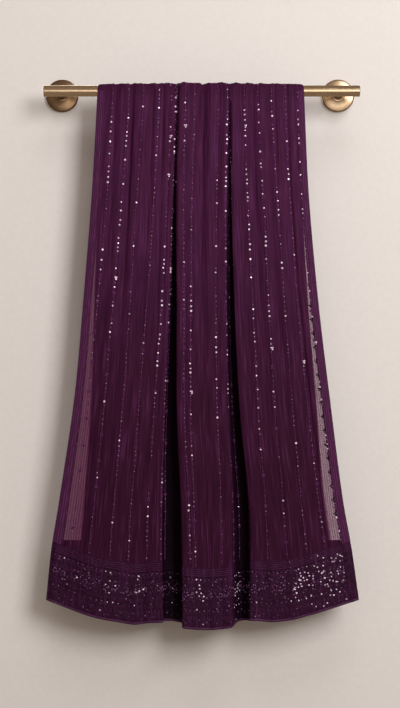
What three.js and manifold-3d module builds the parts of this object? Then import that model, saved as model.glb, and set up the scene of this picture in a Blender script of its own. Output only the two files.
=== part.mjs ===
// A saree hung over a brass wall rod. Millimetres, +Z up.
// X runs along the rod, -Y faces the viewer and the wall is the plane Y = 0.
// The origin is on the wall, midway between the two roses and at the height of the rod's axis.
import * as THREE from 'three';
import Module from 'manifold-3d';
import { mergeVertices } from 'three/addons/utils/BufferGeometryUtils.js';

// ---------------------------------------------------------------- driving sizes
const ROD_DIAMETER = 24;
const ROD_LENGTH = 687;
const ROD_SHIFT = 3.5; // the rod sits this far to the right of the posts' middle
const ROD_CHAMFER = 0.8;
const ROD_TO_WALL = 65; // wall to the rod's axis
const POST_SPACING = 610;
const POST_DIAMETER = 20;
const ROSE_DIAMETER = 72;
const ROSE_RIM = 4.5; // thickness of the rose at its rim
const ROSE_HEIGHT = 9; // thickness where the post stands on it
const ROSE_BOSS_DIAMETER = 27;

const CLOTH_WALL = 1.2; // one layer of cloth
const BORDER_WALL = 1.7; // border cloth with its backing
const SEAM_GAP = 0.3;
const CLOTH_SEAM_GAP = 0.5; // between cloth pieces, whose walls lean towards each other in the folds
const HIDDEN_WALL_AT_ROD = 1.0; // hidden layers, pressed flat by the rod
const HIDDEN_WALL = 2.6; // hidden layers below the rod
const HIDDEN_FOOT = 1077; // rod axis to the foot of the hidden layers
const BACK_DROP = 1080; // rod axis to the foot of the back stretch
const TURN_UNDER = 26; // cloth turned up at the foot of the back stretch
const TURN_RADIUS = 3;

const BORDER_HEIGHTS = { topTape: 20, band: 83, footBand: 23 };
const PIPING = { thickness: 3.2, height: 5.6, sides: 6 };
const EDGE_BAND = { wall: 0.9, share: 0.026 };

// ---------------------------------------------------------------- folds of the cloth
// u runs across the cloth from its left edge (0) to its right edge (1), in equal shares of flat cloth.
// s runs down the front stretch from the rod (0) to the hem (1).
// A level is a distance in front of the rod's axis, measured to the cloth's inner face.
const LEFT_FOLD = { from: 0.3, to: 0.43 };
const RIGHT_FOLD = { from: 0.575, to: 0.695 };

const FRONT = [
  { s: 0.0, left: -221.6, right: 224.8, edge: 12.6, inside: 13.9, leftPanel: 16.0, middle: 17.6, rightPanel: 16.2 },
  { s: 0.2, left: -234.0, right: 234.8, edge: 14.5, inside: 15.5, leftPanel: 20.0, middle: 23.0, rightPanel: 21.0 },
  { s: 0.4, left: -251.2, right: 254.0, edge: 15.5, inside: 16.5, leftPanel: 23.0, middle: 28.0, rightPanel: 24.0 },
  { s: 0.6, left: -271.3, right: 280.0, edge: 15.5, inside: 16.5, leftPanel: 25.0, middle: 33.0, rightPanel: 26.0 },
  { s: 0.8, left: -303.8, right: 308.5, edge: 14.0, inside: 16.0, leftPanel: 26.0, middle: 37.0, rightPanel: 27.0 },
  { s: 0.9, left: -321.7, right: 328.2, edge: 13.0, inside: 15.5, leftPanel: 26.0, middle: 38.0, rightPanel: 26.5 },
  { s: 1.0, left: -333.0, right: 343.8, edge: 12.0, inside: 15.0, leftPanel: 25.0, middle: 39.0, rightPanel: 26.0 },
];
const EDGE_RISE = 0.045; // share of a side panel in which it rises from `edge` to `inside`
const PANEL_RISE = 0.5; // and in which it rises on to its full level

// The two deep folds: where their lips stand, how far back the floor lies,
// and how far each side is hollowed out behind its lip.
const LEFT_FOLD_ROWS = [
  { s: 0.0, lipA: -51.9, lipB: -45.4, floor: 14.4, underA: 0.0, underB: 0.0 },
  { s: 0.2, lipA: -59.2, lipB: -50.4, floor: 4.0, underA: 2.0, underB: 2.0 },
  { s: 0.4, lipA: -65.9, lipB: -49.5, floor: -2.0, underA: 5.0, underB: 5.0 },
  { s: 0.6, lipA: -75.7, lipB: -49.5, floor: -5.0, underA: 8.0, underB: 9.0 },
  { s: 0.8, lipA: -81.5, lipB: -40.0, floor: -7.0, underA: 11.0, underB: 13.0 },
  { s: 1.0, lipA: -81.5, lipB: -36.8, floor: -7.0, underA: 10.0, underB: 14.0 },
];
const RIGHT_FOLD_ROWS = [
  { s: 0.0, lipA: 61.6, lipB: 66.0, floor: 14.4, underA: 0.0, underB: 0.0 },
  { s: 0.2, lipA: 57.5, lipB: 68.5, floor: 6.0, underA: 0.0, underB: 3.0 },
  { s: 0.4, lipA: 55.8, lipB: 74.6, floor: 0.0, underA: 1.0, underB: 6.0 },
  { s: 0.6, lipA: 59.7, lipB: 85.6, floor: -3.0, underA: 2.0, underB: 8.0 },
  { s: 0.8, lipA: 69.5, lipB: 107.0, floor: -5.0, underA: 2.0, underB: 8.0 },
  { s: 1.0, lipA: 69.2, lipB: 108.0, floor: -5.0, underA: 2.0, underB: 6.0 },
];

// Soft troughs in the panels: place and half width in shares of cloth, depth at four heights.
const SOFT_FOLDS = [
  { u: 0.035, half: 0.02, rod: 0.0, upper: 0.8, middle: 0.6, hem: 1.5 },
  { u: 0.071, half: 0.018, rod: 0.8, upper: 1.6, middle: 0.8, hem: 1.0 },
  { u: 0.132, half: 0.016, rod: 1.4, upper: 4.5, middle: 1.6, hem: 1.0 },
  { u: 0.208, half: 0.02, rod: 1.2, upper: 1.6, middle: 0.8, hem: 2.0 },
  { u: 0.252, half: 0.016, rod: 1.0, upper: 1.8, middle: 1.2, hem: 3.0 },
  { u: 0.504, half: 0.015, rod: 3.0, upper: 4.0, middle: 1.6, hem: 1.0 },
  { u: 0.545, half: 0.014, rod: 1.2, upper: 1.4, middle: 0.8, hem: 1.5 },
  { u: 0.733, half: 0.015, rod: 1.2, upper: 1.2, middle: 1.0, hem: 1.0 },
  { u: 0.79, half: 0.017, rod: 1.6, upper: 3.2, middle: 2.0, hem: 1.5 },
  { u: 0.85, half: 0.017, rod: 1.6, upper: 2.4, middle: 3.4, hem: 2.0 },
  { u: 0.915, half: 0.018, rod: 1.2, upper: 1.8, middle: 2.8, hem: 2.5 },
  { u: 0.962, half: 0.016, rod: 0.0, upper: 0.9, middle: 0.7, hem: 1.5 },
];
const SOFT_FOLD_HEIGHTS = { rod: 0, upper: 0.16, middle: 0.5, hem: 1 };

// The hem's outline: distance below the rod's axis.
const HEM = [
  { u: 0.0, drop: 1103 },
  { u: 0.062, drop: 1122 },
  { u: 0.124, drop: 1139 },
  { u: 0.186, drop: 1149 },
  { u: 0.233, drop: 1155 },
  { u: 0.279, drop: 1151 },
  { u: 0.365, drop: 1152 },
  { u: 0.43, drop: 1161 },
  { u: 0.5, drop: 1164 },
  { u: 0.56, drop: 1161 },
  { u: 0.635, drop: 1151 },
  { u: 0.7, drop: 1146 },
  { u: 0.75, drop: 1149 },
  { u: 0.805, drop: 1145 },
  { u: 0.862, drop: 1134 },
  { u: 0.918, drop: 1122 },
  { u: 1.0, drop: 1103 },
];

// The back stretch is a little narrower, and hangs in shallow waves.
const BACK = [
  { s: 0.0, left: -214, right: 217, level: 14.6 },
  { s: 0.2, left: -219, right: 222, level: 16.0 },
  { s: 0.5, left: -233, right: 241, level: 17.0 },
  { s: 0.8, left: -250, right: 267, level: 17.5 },
  { s: 1.0, left: -259, right: 284, level: 17.0 },
];
// Ridges of the back stretch: place and half width in shares of cloth, height at three places down it.
const BACK_RIDGES = [
  { u: 0.1, half: 0.07, rod: 0.8, middle: 7, foot: 9 },
  { u: 0.27, half: 0.06, rod: 1.6, middle: 10, foot: 12 },
  { u: 0.43, half: 0.055, rod: 1.2, middle: 7, foot: 8 },
  { u: 0.58, half: 0.06, rod: 2.0, middle: 12, foot: 14 },
  { u: 0.74, half: 0.055, rod: 1.4, middle: 8, foot: 10 },
  { u: 0.9, half: 0.06, rod: 0.8, middle: 9, foot: 11 },
];
const BACK_RIDGE_HEIGHTS = { rod: 0, middle: 0.5, foot: 1 };

// The hidden layers: how far inside the cloth's two edges they stop, and how far back they lie
// behind the folds and behind the outer parts of the side panels.
const HIDDEN = [
  { s: 0.0, insetLeft: 0.022, insetRight: 0.025, deep: 13.5, shallow: 13.5 },
  { s: 0.06, insetLeft: 0.024, insetRight: 0.026, deep: 8.5, shallow: 10.5 },
  { s: 0.2, insetLeft: 0.03, insetRight: 0.03, deep: 1.2, shallow: 10.0 },
  { s: 0.4, insetLeft: 0.045, insetRight: 0.038, deep: -4.6, shallow: 11.0 },
  { s: 0.6, insetLeft: 0.06, insetRight: 0.05, deep: -7.6, shallow: 11.5 },
  { s: 0.8, insetLeft: 0.078, insetRight: 0.06, deep: -9.4, shallow: 10.5 },
  { s: 1.0, insetLeft: 0.09, insetRight: 0.07, deep: -9.4, shallow: 9.5 },
];
const HIDDEN_DIP = { leftStart: 0.12, leftEnd: 0.26, rightStart: 0.76, rightEnd: 0.89 };
const HIDDEN_STEP = 0.012; // the outer hidden layer reaches this share further than the inner one

// ---------------------------------------------------------------- how finely the solids are divided
const COLUMNS = { leftPanel: 16, leftFold: 11, middle: 10, rightFold: 11, rightPanel: 18 };
const FRONT_STEPS = [0.0, 0.03, 0.07, 0.13, 0.2, 0.3, 0.4, 0.5, 0.6, 0.7, 0.8];
const ROD_CELLS = 8; // steps of the layers that lie round the rod
const BACK_COLUMNS = 38;
const BACK_STEPS = [0.0, 0.05, 0.15, 0.35, 0.6, 0.85];
const TURN_CELLS = 4; // steps of the turn at the back's foot
const HIDDEN_COLUMNS = 18;
const HIDDEN_FRONT_STEPS = [1.0, 0.85, 0.65, 0.45, 0.3, 0.18, 0.09, 0.035];
const HIDDEN_BACK_STEPS = [0.04, 0.12, 0.3, 0.55, 0.8, 0.97];
const ROUND_SIDES = 40;

// ---------------------------------------------------------------- sizes worked out from these
const ROD_RADIUS = ROD_DIAMETER / 2;
const ROD_AXIS_Y = -ROD_TO_WALL;
const ROD_CLEAR = (ROD_RADIUS + SEAM_GAP) / Math.cos(Math.PI / 2 / ROD_CELLS); // corners of flat-sided wraps
const PIPING_DROP = PIPING.height + SEAM_GAP;

// ---------------------------------------------------------------- small helpers
const smooth = (t) => {
  const c = Math.min(1, Math.max(0, t));
  return c * c * (3 - 2 * c);
};
const mix = (a, b, t) => a + (b - a) * t;

// A smooth curve through a table's rows: `at` names the column that is the position.
function curve(rows, at, column, position) {
  const last = rows.length - 1;
  const p = Math.min(rows[last][at], Math.max(rows[0][at], position));
  let i = 0;
  while (i < last - 1 && p > rows[i + 1][at]) i += 1;
  const slope = (k) => {
    const before = rows[Math.max(0, k - 1)];
    const after = rows[Math.min(last, k + 1)];
    return (after[column] - before[column]) / (after[at] - before[at]);
  };
  const width = rows[i + 1][at] - rows[i][at];
  const t = (p - rows[i][at]) / width;
  const t2 = t * t;
  const t3 = t2 * t;
  return (2 * t3 - 3 * t2 + 1) * rows[i][column]
    + (t3 - 2 * t2 + t) * width * slope(i)
    + (3 * t2 - 2 * t3) * rows[i + 1][column]
    + (t3 - t2) * width * slope(i + 1);
}

// The sum of bell-shaped folds, each with its own depth at named heights.
function bells(folds, heights, u, s) {
  let sum = 0;
  for (const fold of folds) {
    const rows = Object.keys(heights).map((name) => ({ s: heights[name], depth: fold[name] }));
    const reach = (u - fold.u) / fold.half;
    sum += curve(rows, 's', 'depth', s) * Math.exp(-reach * reach);
  }
  return sum;
}

// ---------------------------------------------------------------- the cloth's form
const FOLD_LIP = 0.85; // the lip stands at this share of a fold's half width
const FOLD_HOLLOW = 0.9;

function foldAt(rows, s) {
  const lipA = curve(rows, 's', 'lipA', s);
  const lipB = curve(rows, 's', 'lipB', s);
  return {
    centre: (lipA + lipB) / 2,
    reach: (lipB - lipA) / 2 / FOLD_LIP,
    floor: curve(rows, 's', 'floor', s),
    underA: curve(rows, 's', 'underA', s),
    underB: curve(rows, 's', 'underB', s),
  };
}

// Place across and level of one point of a deep fold; t runs from -1 at its left to 1 at its right.
function insideFold(fold, t, levelA, levelB) {
  const side = Math.abs(t);
  const under = t < 0 ? fold.underA : fold.underB;
  const level = t < 0 ? levelA : levelB;
  const hollow = side < FOLD_HOLLOW ? Math.sin((Math.PI * side) / FOLD_HOLLOW) ** 2 : 0;
  const rise = Math.sin((Math.PI * side) / 2) ** 2;
  return {
    x: fold.centre + fold.reach * t + Math.sign(t) * under * hollow,
    level: fold.floor + (level - fold.floor) * rise,
  };
}

function frontSection(u, s) {
  const left = curve(FRONT, 's', 'left', s);
  const right = curve(FRONT, 's', 'right', s);
  const edge = curve(FRONT, 's', 'edge', s);
  const inside = curve(FRONT, 's', 'inside', s);
  const leftLevel = curve(FRONT, 's', 'leftPanel', s);
  const middleLevel = curve(FRONT, 's', 'middle', s);
  const rightLevel = curve(FRONT, 's', 'rightPanel', s);
  const foldA = foldAt(LEFT_FOLD_ROWS, s);
  const foldB = foldAt(RIGHT_FOLD_ROWS, s);
  const softness = bells(SOFT_FOLDS, SOFT_FOLD_HEIGHTS, u, s);
  const sideLevel = (p, full) => edge
    + (inside - edge) * smooth(p / EDGE_RISE)
    + (full - inside) * smooth(p / PANEL_RISE);
  if (u <= LEFT_FOLD.from) {
    const p = u / LEFT_FOLD.from;
    const x = mix(left, foldA.centre - foldA.reach, p);
    return { x, level: sideLevel(p, leftLevel) - softness };
  }
  if (u < LEFT_FOLD.to) {
    const t = mix(-1, 1, (u - LEFT_FOLD.from) / (LEFT_FOLD.to - LEFT_FOLD.from));
    return insideFold(foldA, t, leftLevel, middleLevel);
  }
  if (u <= RIGHT_FOLD.from) {
    const p = (u - LEFT_FOLD.to) / (RIGHT_FOLD.from - LEFT_FOLD.to);
    const x = mix(foldA.centre + foldA.reach, foldB.centre - foldB.reach, p);
    return { x, level: middleLevel - softness };
  }
  if (u < RIGHT_FOLD.to) {
    const t = mix(-1, 1, (u - RIGHT_FOLD.from) / (RIGHT_FOLD.to - RIGHT_FOLD.from));
    return insideFold(foldB, t, middleLevel, rightLevel);
  }
  const p = (u - RIGHT_FOLD.to) / (1 - RIGHT_FOLD.to);
  const x = mix(foldB.centre + foldB.reach, right, p);
  return { x, level: sideLevel(1 - p, rightLevel) - softness };
}

function backSection(u, s) {
  const left = curve(BACK, 's', 'left', s);
  const right = curve(BACK, 's', 'right', s);
  const level = curve(BACK, 's', 'level', s) + bells(BACK_RIDGES, BACK_RIDGE_HEIGHTS, u, s);
  return { x: mix(left, right, u), level };
}

const drop = (u) => curve(HEM, 'u', 'drop', u);

function frontPoint(u, s) {
  const { x, level } = frontSection(u, s);
  return new THREE.Vector3(x, ROD_AXIS_Y - level, -s * drop(u));
}

// Over the rod, turn runs from 0 at its front to 1 at its back.
function overRodPoint(u, turn) {
  const front = frontSection(u, 0);
  const back = backSection(u, 0);
  const blend = smooth(turn);
  const radius = mix(front.level, back.level, blend);
  const angle = Math.PI * turn;
  return new THREE.Vector3(
    mix(front.x, back.x, blend),
    ROD_AXIS_Y - radius * Math.cos(angle),
    radius * Math.sin(angle),
  );
}

function backPoint(u, s) {
  const { x, level } = backSection(u, s);
  return new THREE.Vector3(x, ROD_AXIS_Y + level, -s * BACK_DROP);
}

// Each surface of the cloth, with the sign that makes its normal point away from the rod.
const FRONT_FACE = { point: frontPoint, sign: -1 };
const TOP_FACE = { point: overRodPoint, sign: 1 };

function outward({ point, sign }, u, v) {
  const step = 1e-4;
  const across = point(Math.min(1, u + step), v).sub(point(Math.max(0, u - step), v));
  const along = point(u, v + step).sub(point(u, Math.max(0, v - step)));
  return across.cross(along).normalize().multiplyScalar(sign);
}

// ---------------------------------------------------------------- closed walls from grids of points
// inner and outer are grids [row][column] of points; the wall between them is one closed body.
function closedWall(inner, outer) {
  const rows = inner.length;
  const columns = inner[0].length;
  const positions = [];
  for (const grid of [inner, outer]) {
    for (const row of grid) {
      for (const point of row) positions.push(point.x, point.y, point.z);
    }
  }
  const half = rows * columns;
  const at = (i, j, side) => side * half + i * columns + j;
  const faces = [];
  const quad = (a, b, c, d) => faces.push(a, b, c, a, c, d);
  for (let i = 0; i < rows - 1; i += 1) {
    for (let j = 0; j < columns - 1; j += 1) {
      quad(at(i, j, 1), at(i + 1, j, 1), at(i + 1, j + 1, 1), at(i, j + 1, 1));
      quad(at(i, j, 0), at(i, j + 1, 0), at(i + 1, j + 1, 0), at(i + 1, j, 0));
    }
    quad(at(i, 0, 0), at(i + 1, 0, 0), at(i + 1, 0, 1), at(i, 0, 1));
    const end = columns - 1;
    quad(at(i, end, 1), at(i + 1, end, 1), at(i + 1, end, 0), at(i, end, 0));
  }
  for (let j = 0; j < columns - 1; j += 1) {
    quad(at(0, j, 1), at(0, j + 1, 1), at(0, j + 1, 0), at(0, j, 0));
    const foot = rows - 1;
    quad(at(foot, j, 0), at(foot, j + 1, 0), at(foot, j + 1, 1), at(foot, j, 1));
  }
  return fromFaces(positions, faces);
}

// A geometry from points and faces, turned inside out if its volume comes out negative.
function fromFaces(positions, faces) {
  const p = (k) => new THREE.Vector3().fromArray(positions, 3 * k);
  let volume = 0;
  for (let k = 0; k < faces.length; k += 3) {
    volume += p(faces[k]).dot(p(faces[k + 1]).cross(p(faces[k + 2])));
  }
  const index = volume > 0 ? faces : faces.slice().reverse();
  const geometry = new THREE.BufferGeometry();
  geometry.setAttribute('position', new THREE.Float32BufferAttribute(positions, 3));
  geometry.setIndex(index);
  return geometry;
}

// A wall on a surface between two lifts outward from it.
function wallOn(surface, us, vs, liftInner, liftOuter) {
  const gridAt = (lift) => vs.map((v) => us.map((u) => {
    const amount = typeof lift === 'function' ? lift(u, v) : lift;
    return surface.point(u, v).addScaledVector(outward(surface, u, v), amount);
  }));
  return closedWall(gridAt(liftInner), gridAt(liftOuter));
}

function evenly(from, to, cells) {
  return Array.from({ length: cells + 1 }, (_, k) => mix(from, to, k / cells));
}

const FRONT_US = [
  ...evenly(0, LEFT_FOLD.from, COLUMNS.leftPanel),
  ...evenly(LEFT_FOLD.from, LEFT_FOLD.to, COLUMNS.leftFold).slice(1),
  ...evenly(LEFT_FOLD.to, RIGHT_FOLD.from, COLUMNS.middle).slice(1),
  ...evenly(RIGHT_FOLD.from, RIGHT_FOLD.to, COLUMNS.rightFold).slice(1),
  ...evenly(RIGHT_FOLD.to, 1, COLUMNS.rightPanel).slice(1),
];

// ---------------------------------------------------------------- heights of the border's pieces
const MEAN_DROP = 1150; // the borders' heights are measured on a fall of this length
const share = (height) => height / MEAN_DROP;
const HEM_S = 1 - share(PIPING_DROP);
const FOOT_BAND_TOP = HEM_S - share(BORDER_HEIGHTS.footBand);
const BAND_TOP = FOOT_BAND_TOP - share(BORDER_HEIGHTS.band);
const TAPE_TOP = BAND_TOP - share(BORDER_HEIGHTS.topTape);
const HALF_SEAM = share(CLOTH_SEAM_GAP / 2);

// ---------------------------------------------------------------- cloth pieces
const frontSteps = [...FRONT_STEPS, TAPE_TOP - HALF_SEAM];
frontSteps[0] = 2 * HALF_SEAM;

const fallFront = () => wallOn(FRONT_FACE, FRONT_US, frontSteps, 0, CLOTH_WALL);

const overRod = () => wallOn(TOP_FACE, FRONT_US, evenly(0, 1, ROD_CELLS), 0, CLOTH_WALL);

function borderPiece(top, foot, cells) {
  const steps = evenly(top + HALF_SEAM, foot - HALF_SEAM, cells);
  return wallOn(FRONT_FACE, FRONT_US, steps, 0, BORDER_WALL);
}

function edgeBand(from, to) {
  const us = evenly(from, to, 3);
  const lift = CLOTH_WALL + CLOTH_SEAM_GAP;
  return wallOn(FRONT_FACE, us, frontSteps, lift, lift + EDGE_BAND.wall);
}

// An oval cord along the hem, just below the border's foot.
function hemPiping() {
  const centreDrop = PIPING.height / 2 + SEAM_GAP;
  const rings = FRONT_US.map((u) => {
    const normal = outward(FRONT_FACE, u, HEM_S);
    const down = frontPoint(u, 1).sub(frontPoint(u, HEM_S)).normalize();
    const centre = frontPoint(u, HEM_S)
      .addScaledVector(normal, BORDER_WALL / 2)
      .addScaledVector(down, centreDrop);
    return Array.from({ length: PIPING.sides }, (_, k) => {
      const angle = (2 * Math.PI * (k + 0.5)) / PIPING.sides;
      return centre.clone()
        .addScaledVector(normal, (PIPING.thickness / 2) * Math.cos(angle))
        .addScaledVector(down, (PIPING.height / 2) * Math.sin(angle));
    });
  });
  return closedTube(rings);
}

// A closed body through rings of points, with flat ends.
function closedTube(rings) {
  const sides = rings[0].length;
  const positions = [];
  for (const ring of rings) {
    for (const point of ring) positions.push(point.x, point.y, point.z);
  }
  const faces = [];
  for (let i = 0; i < rings.length - 1; i += 1) {
    for (let k = 0; k < sides; k += 1) {
      const next = (k + 1) % sides;
      const a = i * sides + k;
      const b = i * sides + next;
      const c = (i + 1) * sides + next;
      const d = (i + 1) * sides + k;
      faces.push(a, b, c, a, c, d);
    }
  }
  const last = (rings.length - 1) * sides;
  for (let k = 1; k < sides - 1; k += 1) {
    faces.push(0, k + 1, k);
    faces.push(last, last + k, last + k + 1);
  }
  return fromFaces(positions, faces);
}

// The back stretch goes down, turns round under its foot and ends a little way up.
function fallBack() {
  const us = evenly(0, 1, BACK_COLUMNS);
  const footS = 1 - (TURN_RADIUS + CLOTH_WALL) / BACK_DROP;
  const steps = [...BACK_STEPS, footS];
  steps[0] = SEAM_GAP / BACK_DROP;
  const inner = [];
  const outer = [];
  for (const s of steps) {
    inner.push(us.map((u) => backPoint(u, s)));
    outer.push(us.map((u) => backPoint(u, s).add(new THREE.Vector3(0, CLOTH_WALL, 0))));
  }
  const turned = (u, radius, angle) => {
    const top = backPoint(u, footS);
    const centreY = top.y - TURN_RADIUS;
    return new THREE.Vector3(
      top.x,
      centreY + radius * Math.cos(angle),
      top.z - radius * Math.sin(angle),
    );
  };
  for (let k = 1; k <= TURN_CELLS; k += 1) {
    const angle = (Math.PI * k) / TURN_CELLS;
    inner.push(us.map((u) => turned(u, TURN_RADIUS, angle)));
    outer.push(us.map((u) => turned(u, TURN_RADIUS + CLOTH_WALL, angle)));
  }
  const up = new THREE.Vector3(0, 0, TURN_UNDER);
  inner.push(us.map((u) => turned(u, TURN_RADIUS, Math.PI).add(up)));
  outer.push(us.map((u) => turned(u, TURN_RADIUS + CLOTH_WALL, Math.PI).add(up)));
  return closedWall(inner, outer);
}

// ---------------------------------------------------------------- the hidden layers
function hiddenUs(s) {
  const left = curve(HIDDEN, 's', 'insetLeft', s);
  const right = 1 - curve(HIDDEN, 's', 'insetRight', s);
  return [
    left,
    left + HIDDEN_STEP,
    ...evenly(left + 1.1 * HIDDEN_STEP, right - 1.1 * HIDDEN_STEP, HIDDEN_COLUMNS),
    right - HIDDEN_STEP,
    right,
  ];
}

// Across the hidden layers x is shared out evenly between the cloth's edges.
function hiddenFrontX(u, s) {
  return mix(curve(FRONT, 's', 'left', s), curve(FRONT, 's', 'right', s), u);
}

function hiddenFrontLevel(u, s) {
  const deep = curve(HIDDEN, 's', 'deep', s);
  const shallow = curve(HIDDEN, 's', 'shallow', s);
  const dipLeft = smooth((u - HIDDEN_DIP.leftStart) / (HIDDEN_DIP.leftEnd - HIDDEN_DIP.leftStart));
  const dipRight = smooth((HIDDEN_DIP.rightEnd - u) / (HIDDEN_DIP.rightEnd - HIDDEN_DIP.rightStart));
  return mix(shallow, deep, dipLeft * dipRight);
}

// One wall from the foot of the front part, over the rod, to the foot of the back part.
// At each side the outer layer stands out past the inner one.
function foldedLayers() {
  const inner = [];
  const outer = [];
  const thickness = (j, count, s) => {
    const full = mix(HIDDEN_WALL_AT_ROD, HIDDEN_WALL, smooth(s / 0.08));
    const single = j < 2 || j > count - 3;
    return single ? full / 2 : full;
  };
  for (const step of HIDDEN_FRONT_STEPS) {
    const us = hiddenUs(step);
    const z = -step * HIDDEN_FOOT;
    outer.push(us.map((u) => new THREE.Vector3(
      hiddenFrontX(u, step),
      ROD_AXIS_Y - hiddenFrontLevel(u, step),
      z,
    )));
    inner.push(us.map((u, j) => new THREE.Vector3(
      hiddenFrontX(u, step),
      ROD_AXIS_Y - hiddenFrontLevel(u, step) + thickness(j, us.length, step),
      z,
    )));
  }
  const rodUs = hiddenUs(0);
  const rodOuter = ROD_CLEAR + HIDDEN_WALL_AT_ROD;
  for (let k = 0; k <= ROD_CELLS; k += 1) {
    const angle = (Math.PI * k) / ROD_CELLS;
    const ring = (radiusOf) => rodUs.map((u, j) => new THREE.Vector3(
      hiddenFrontX(u, 0),
      ROD_AXIS_Y - radiusOf(j) * Math.cos(angle),
      radiusOf(j) * Math.sin(angle),
    ));
    outer.push(ring(() => rodOuter));
    inner.push(ring((j) => rodOuter - thickness(j, rodUs.length, 0)));
  }
  const backLevel = rodOuter;
  for (const step of HIDDEN_BACK_STEPS) {
    const us = hiddenUs(step);
    const z = -step * (HIDDEN_FOOT - 2 * TURN_UNDER);
    const x = (u) => mix(curve(BACK, 's', 'left', step), curve(BACK, 's', 'right', step), u);
    outer.push(us.map((u) => new THREE.Vector3(x(u), ROD_AXIS_Y + backLevel, z)));
    inner.push(us.map((u, j) => new THREE.Vector3(
      x(u),
      ROD_AXIS_Y + backLevel - thickness(j, us.length, 0),
      z,
    )));
  }
  return closedWall(inner, outer);
}

// ---------------------------------------------------------------- the rod, its posts and roses
// Lathe profiles are turned about the rod's or the post's own axis.
function turned(profile) {
  const points = profile.map(([radius, along]) => new THREE.Vector2(radius, along));
  return new THREE.LatheGeometry(points, ROUND_SIDES);
}

function rodGeometry() {
  const half = ROD_LENGTH / 2;
  const inner = ROD_RADIUS - ROD_CHAMFER;
  return turned([
    [0, -half],
    [inner, -half],
    [ROD_RADIUS, -half + ROD_CHAMFER],
    [ROD_RADIUS, half - ROD_CHAMFER],
    [inner, half],
    [0, half],
  ]).rotateZ(-Math.PI / 2).translate(ROD_SHIFT, ROD_AXIS_Y, 0);
}

// The lathe's own axis, +Y, is turned to point from the wall to the viewer.
const OUT_OF_WALL = Math.PI;

function roseGeometry(x) {
  const rim = ROSE_DIAMETER / 2;
  const bevel = 1;
  return turned([
    [0, 0],
    [rim, 0],
    [rim, ROSE_RIM - bevel],
    [rim - bevel, ROSE_RIM],
    [ROSE_BOSS_DIAMETER / 2, ROSE_HEIGHT - bevel],
    [ROSE_BOSS_DIAMETER / 2 - bevel, ROSE_HEIGHT],
    [0, ROSE_HEIGHT],
  ]).rotateX(OUT_OF_WALL).translate(x, 0, 0);
}

const wasm = await Module();
wasm.setup();

function toManifold(geometry) {
  const bare = geometry.clone();
  bare.deleteAttribute('normal');
  bare.deleteAttribute('uv');
  const merged = mergeVertices(bare, 1e-4);
  return new wasm.Manifold(new wasm.Mesh({
    numProp: 3,
    vertProperties: new Float32Array(merged.attributes.position.array),
    triVerts: new Uint32Array(merged.index.array),
  }));
}

function toGeometry(solid) {
  const mesh = solid.getMesh();
  const geometry = new THREE.BufferGeometry();
  geometry.setAttribute('position', new THREE.BufferAttribute(mesh.vertProperties, 3));
  geometry.setIndex(new THREE.BufferAttribute(mesh.triVerts, 1));
  return geometry;
}

// The post's front end is hollowed to sit round the back of the rod.
function postGeometry(x) {
  const radius = POST_DIAMETER / 2;
  const start = ROSE_HEIGHT + SEAM_GAP;
  const reach = ROD_TO_WALL - ROD_RADIUS / 2;
  const bar = turned([
    [0, start],
    [radius, start],
    [radius, reach],
    [0, reach],
  ]).rotateX(OUT_OF_WALL).translate(x, 0, 0);
  const clear = ROD_RADIUS + SEAM_GAP;
  const cutter = turned([
    [0, -ROD_DIAMETER],
    [clear, -ROD_DIAMETER],
    [clear, ROD_DIAMETER],
    [0, ROD_DIAMETER],
  ]).rotateZ(-Math.PI / 2).translate(x, ROD_AXIS_Y, 0);
  return toGeometry(toManifold(bar).subtract(toManifold(cutter)));
}

// ---------------------------------------------------------------- materials and the finished group
const FINISHES = {
  ground: { color: 0x3c1c34, roughness: 0.62, metalness: 0.0 },
  hidden: { color: 0x33172d, roughness: 0.68, metalness: 0.0 },
  border: { color: 0x36143c, roughness: 0.55, metalness: 0.0 },
  piping: { color: 0x55205e, roughness: 0.35, metalness: 0.0 },
  brass: { color: 0x8a6f4c, roughness: 0.32, metalness: 1.0 },
};

const group = new THREE.Group();

function add(name, geometry, finish) {
  const mesh = new THREE.Mesh(geometry, new THREE.MeshStandardMaterial(FINISHES[finish]));
  mesh.name = name;
  group.add(mesh);
}

add('fall_front', fallFront(), 'ground');
add('over_rod', overRod(), 'ground');
add('fall_back', fallBack(), 'ground');
add('folded_layers', foldedLayers(), 'hidden');
add('edge_band_left', edgeBand(0, EDGE_BAND.share), 'border');
add('edge_band_right', edgeBand(1 - EDGE_BAND.share, 1), 'border');
add('border_top_tape', borderPiece(TAPE_TOP, BAND_TOP, 1), 'border');
add('border_band', borderPiece(BAND_TOP, FOOT_BAND_TOP, 3), 'border');
add('border_foot_band', borderPiece(FOOT_BAND_TOP, HEM_S, 1), 'border');
add('hem_piping', hemPiping(), 'piping');
add('rod', rodGeometry(), 'brass');
for (const [side, x] of [['left', -POST_SPACING / 2], ['right', POST_SPACING / 2]]) {
  add(`post_${side}`, postGeometry(x), 'brass');
  add(`rose_${side}`, roseGeometry(x), 'brass');
}

export default group;
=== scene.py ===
"""A saree hung over a brass wall rod.

The cloth, its border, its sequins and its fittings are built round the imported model, one operator for each
piece or group of like pieces. Sizes in the tables are millimetres; the finished meshes are in metres.
"""
import math
import random

import bmesh
import bpy
import numpy as np
from mathutils import Matrix, Vector


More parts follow.
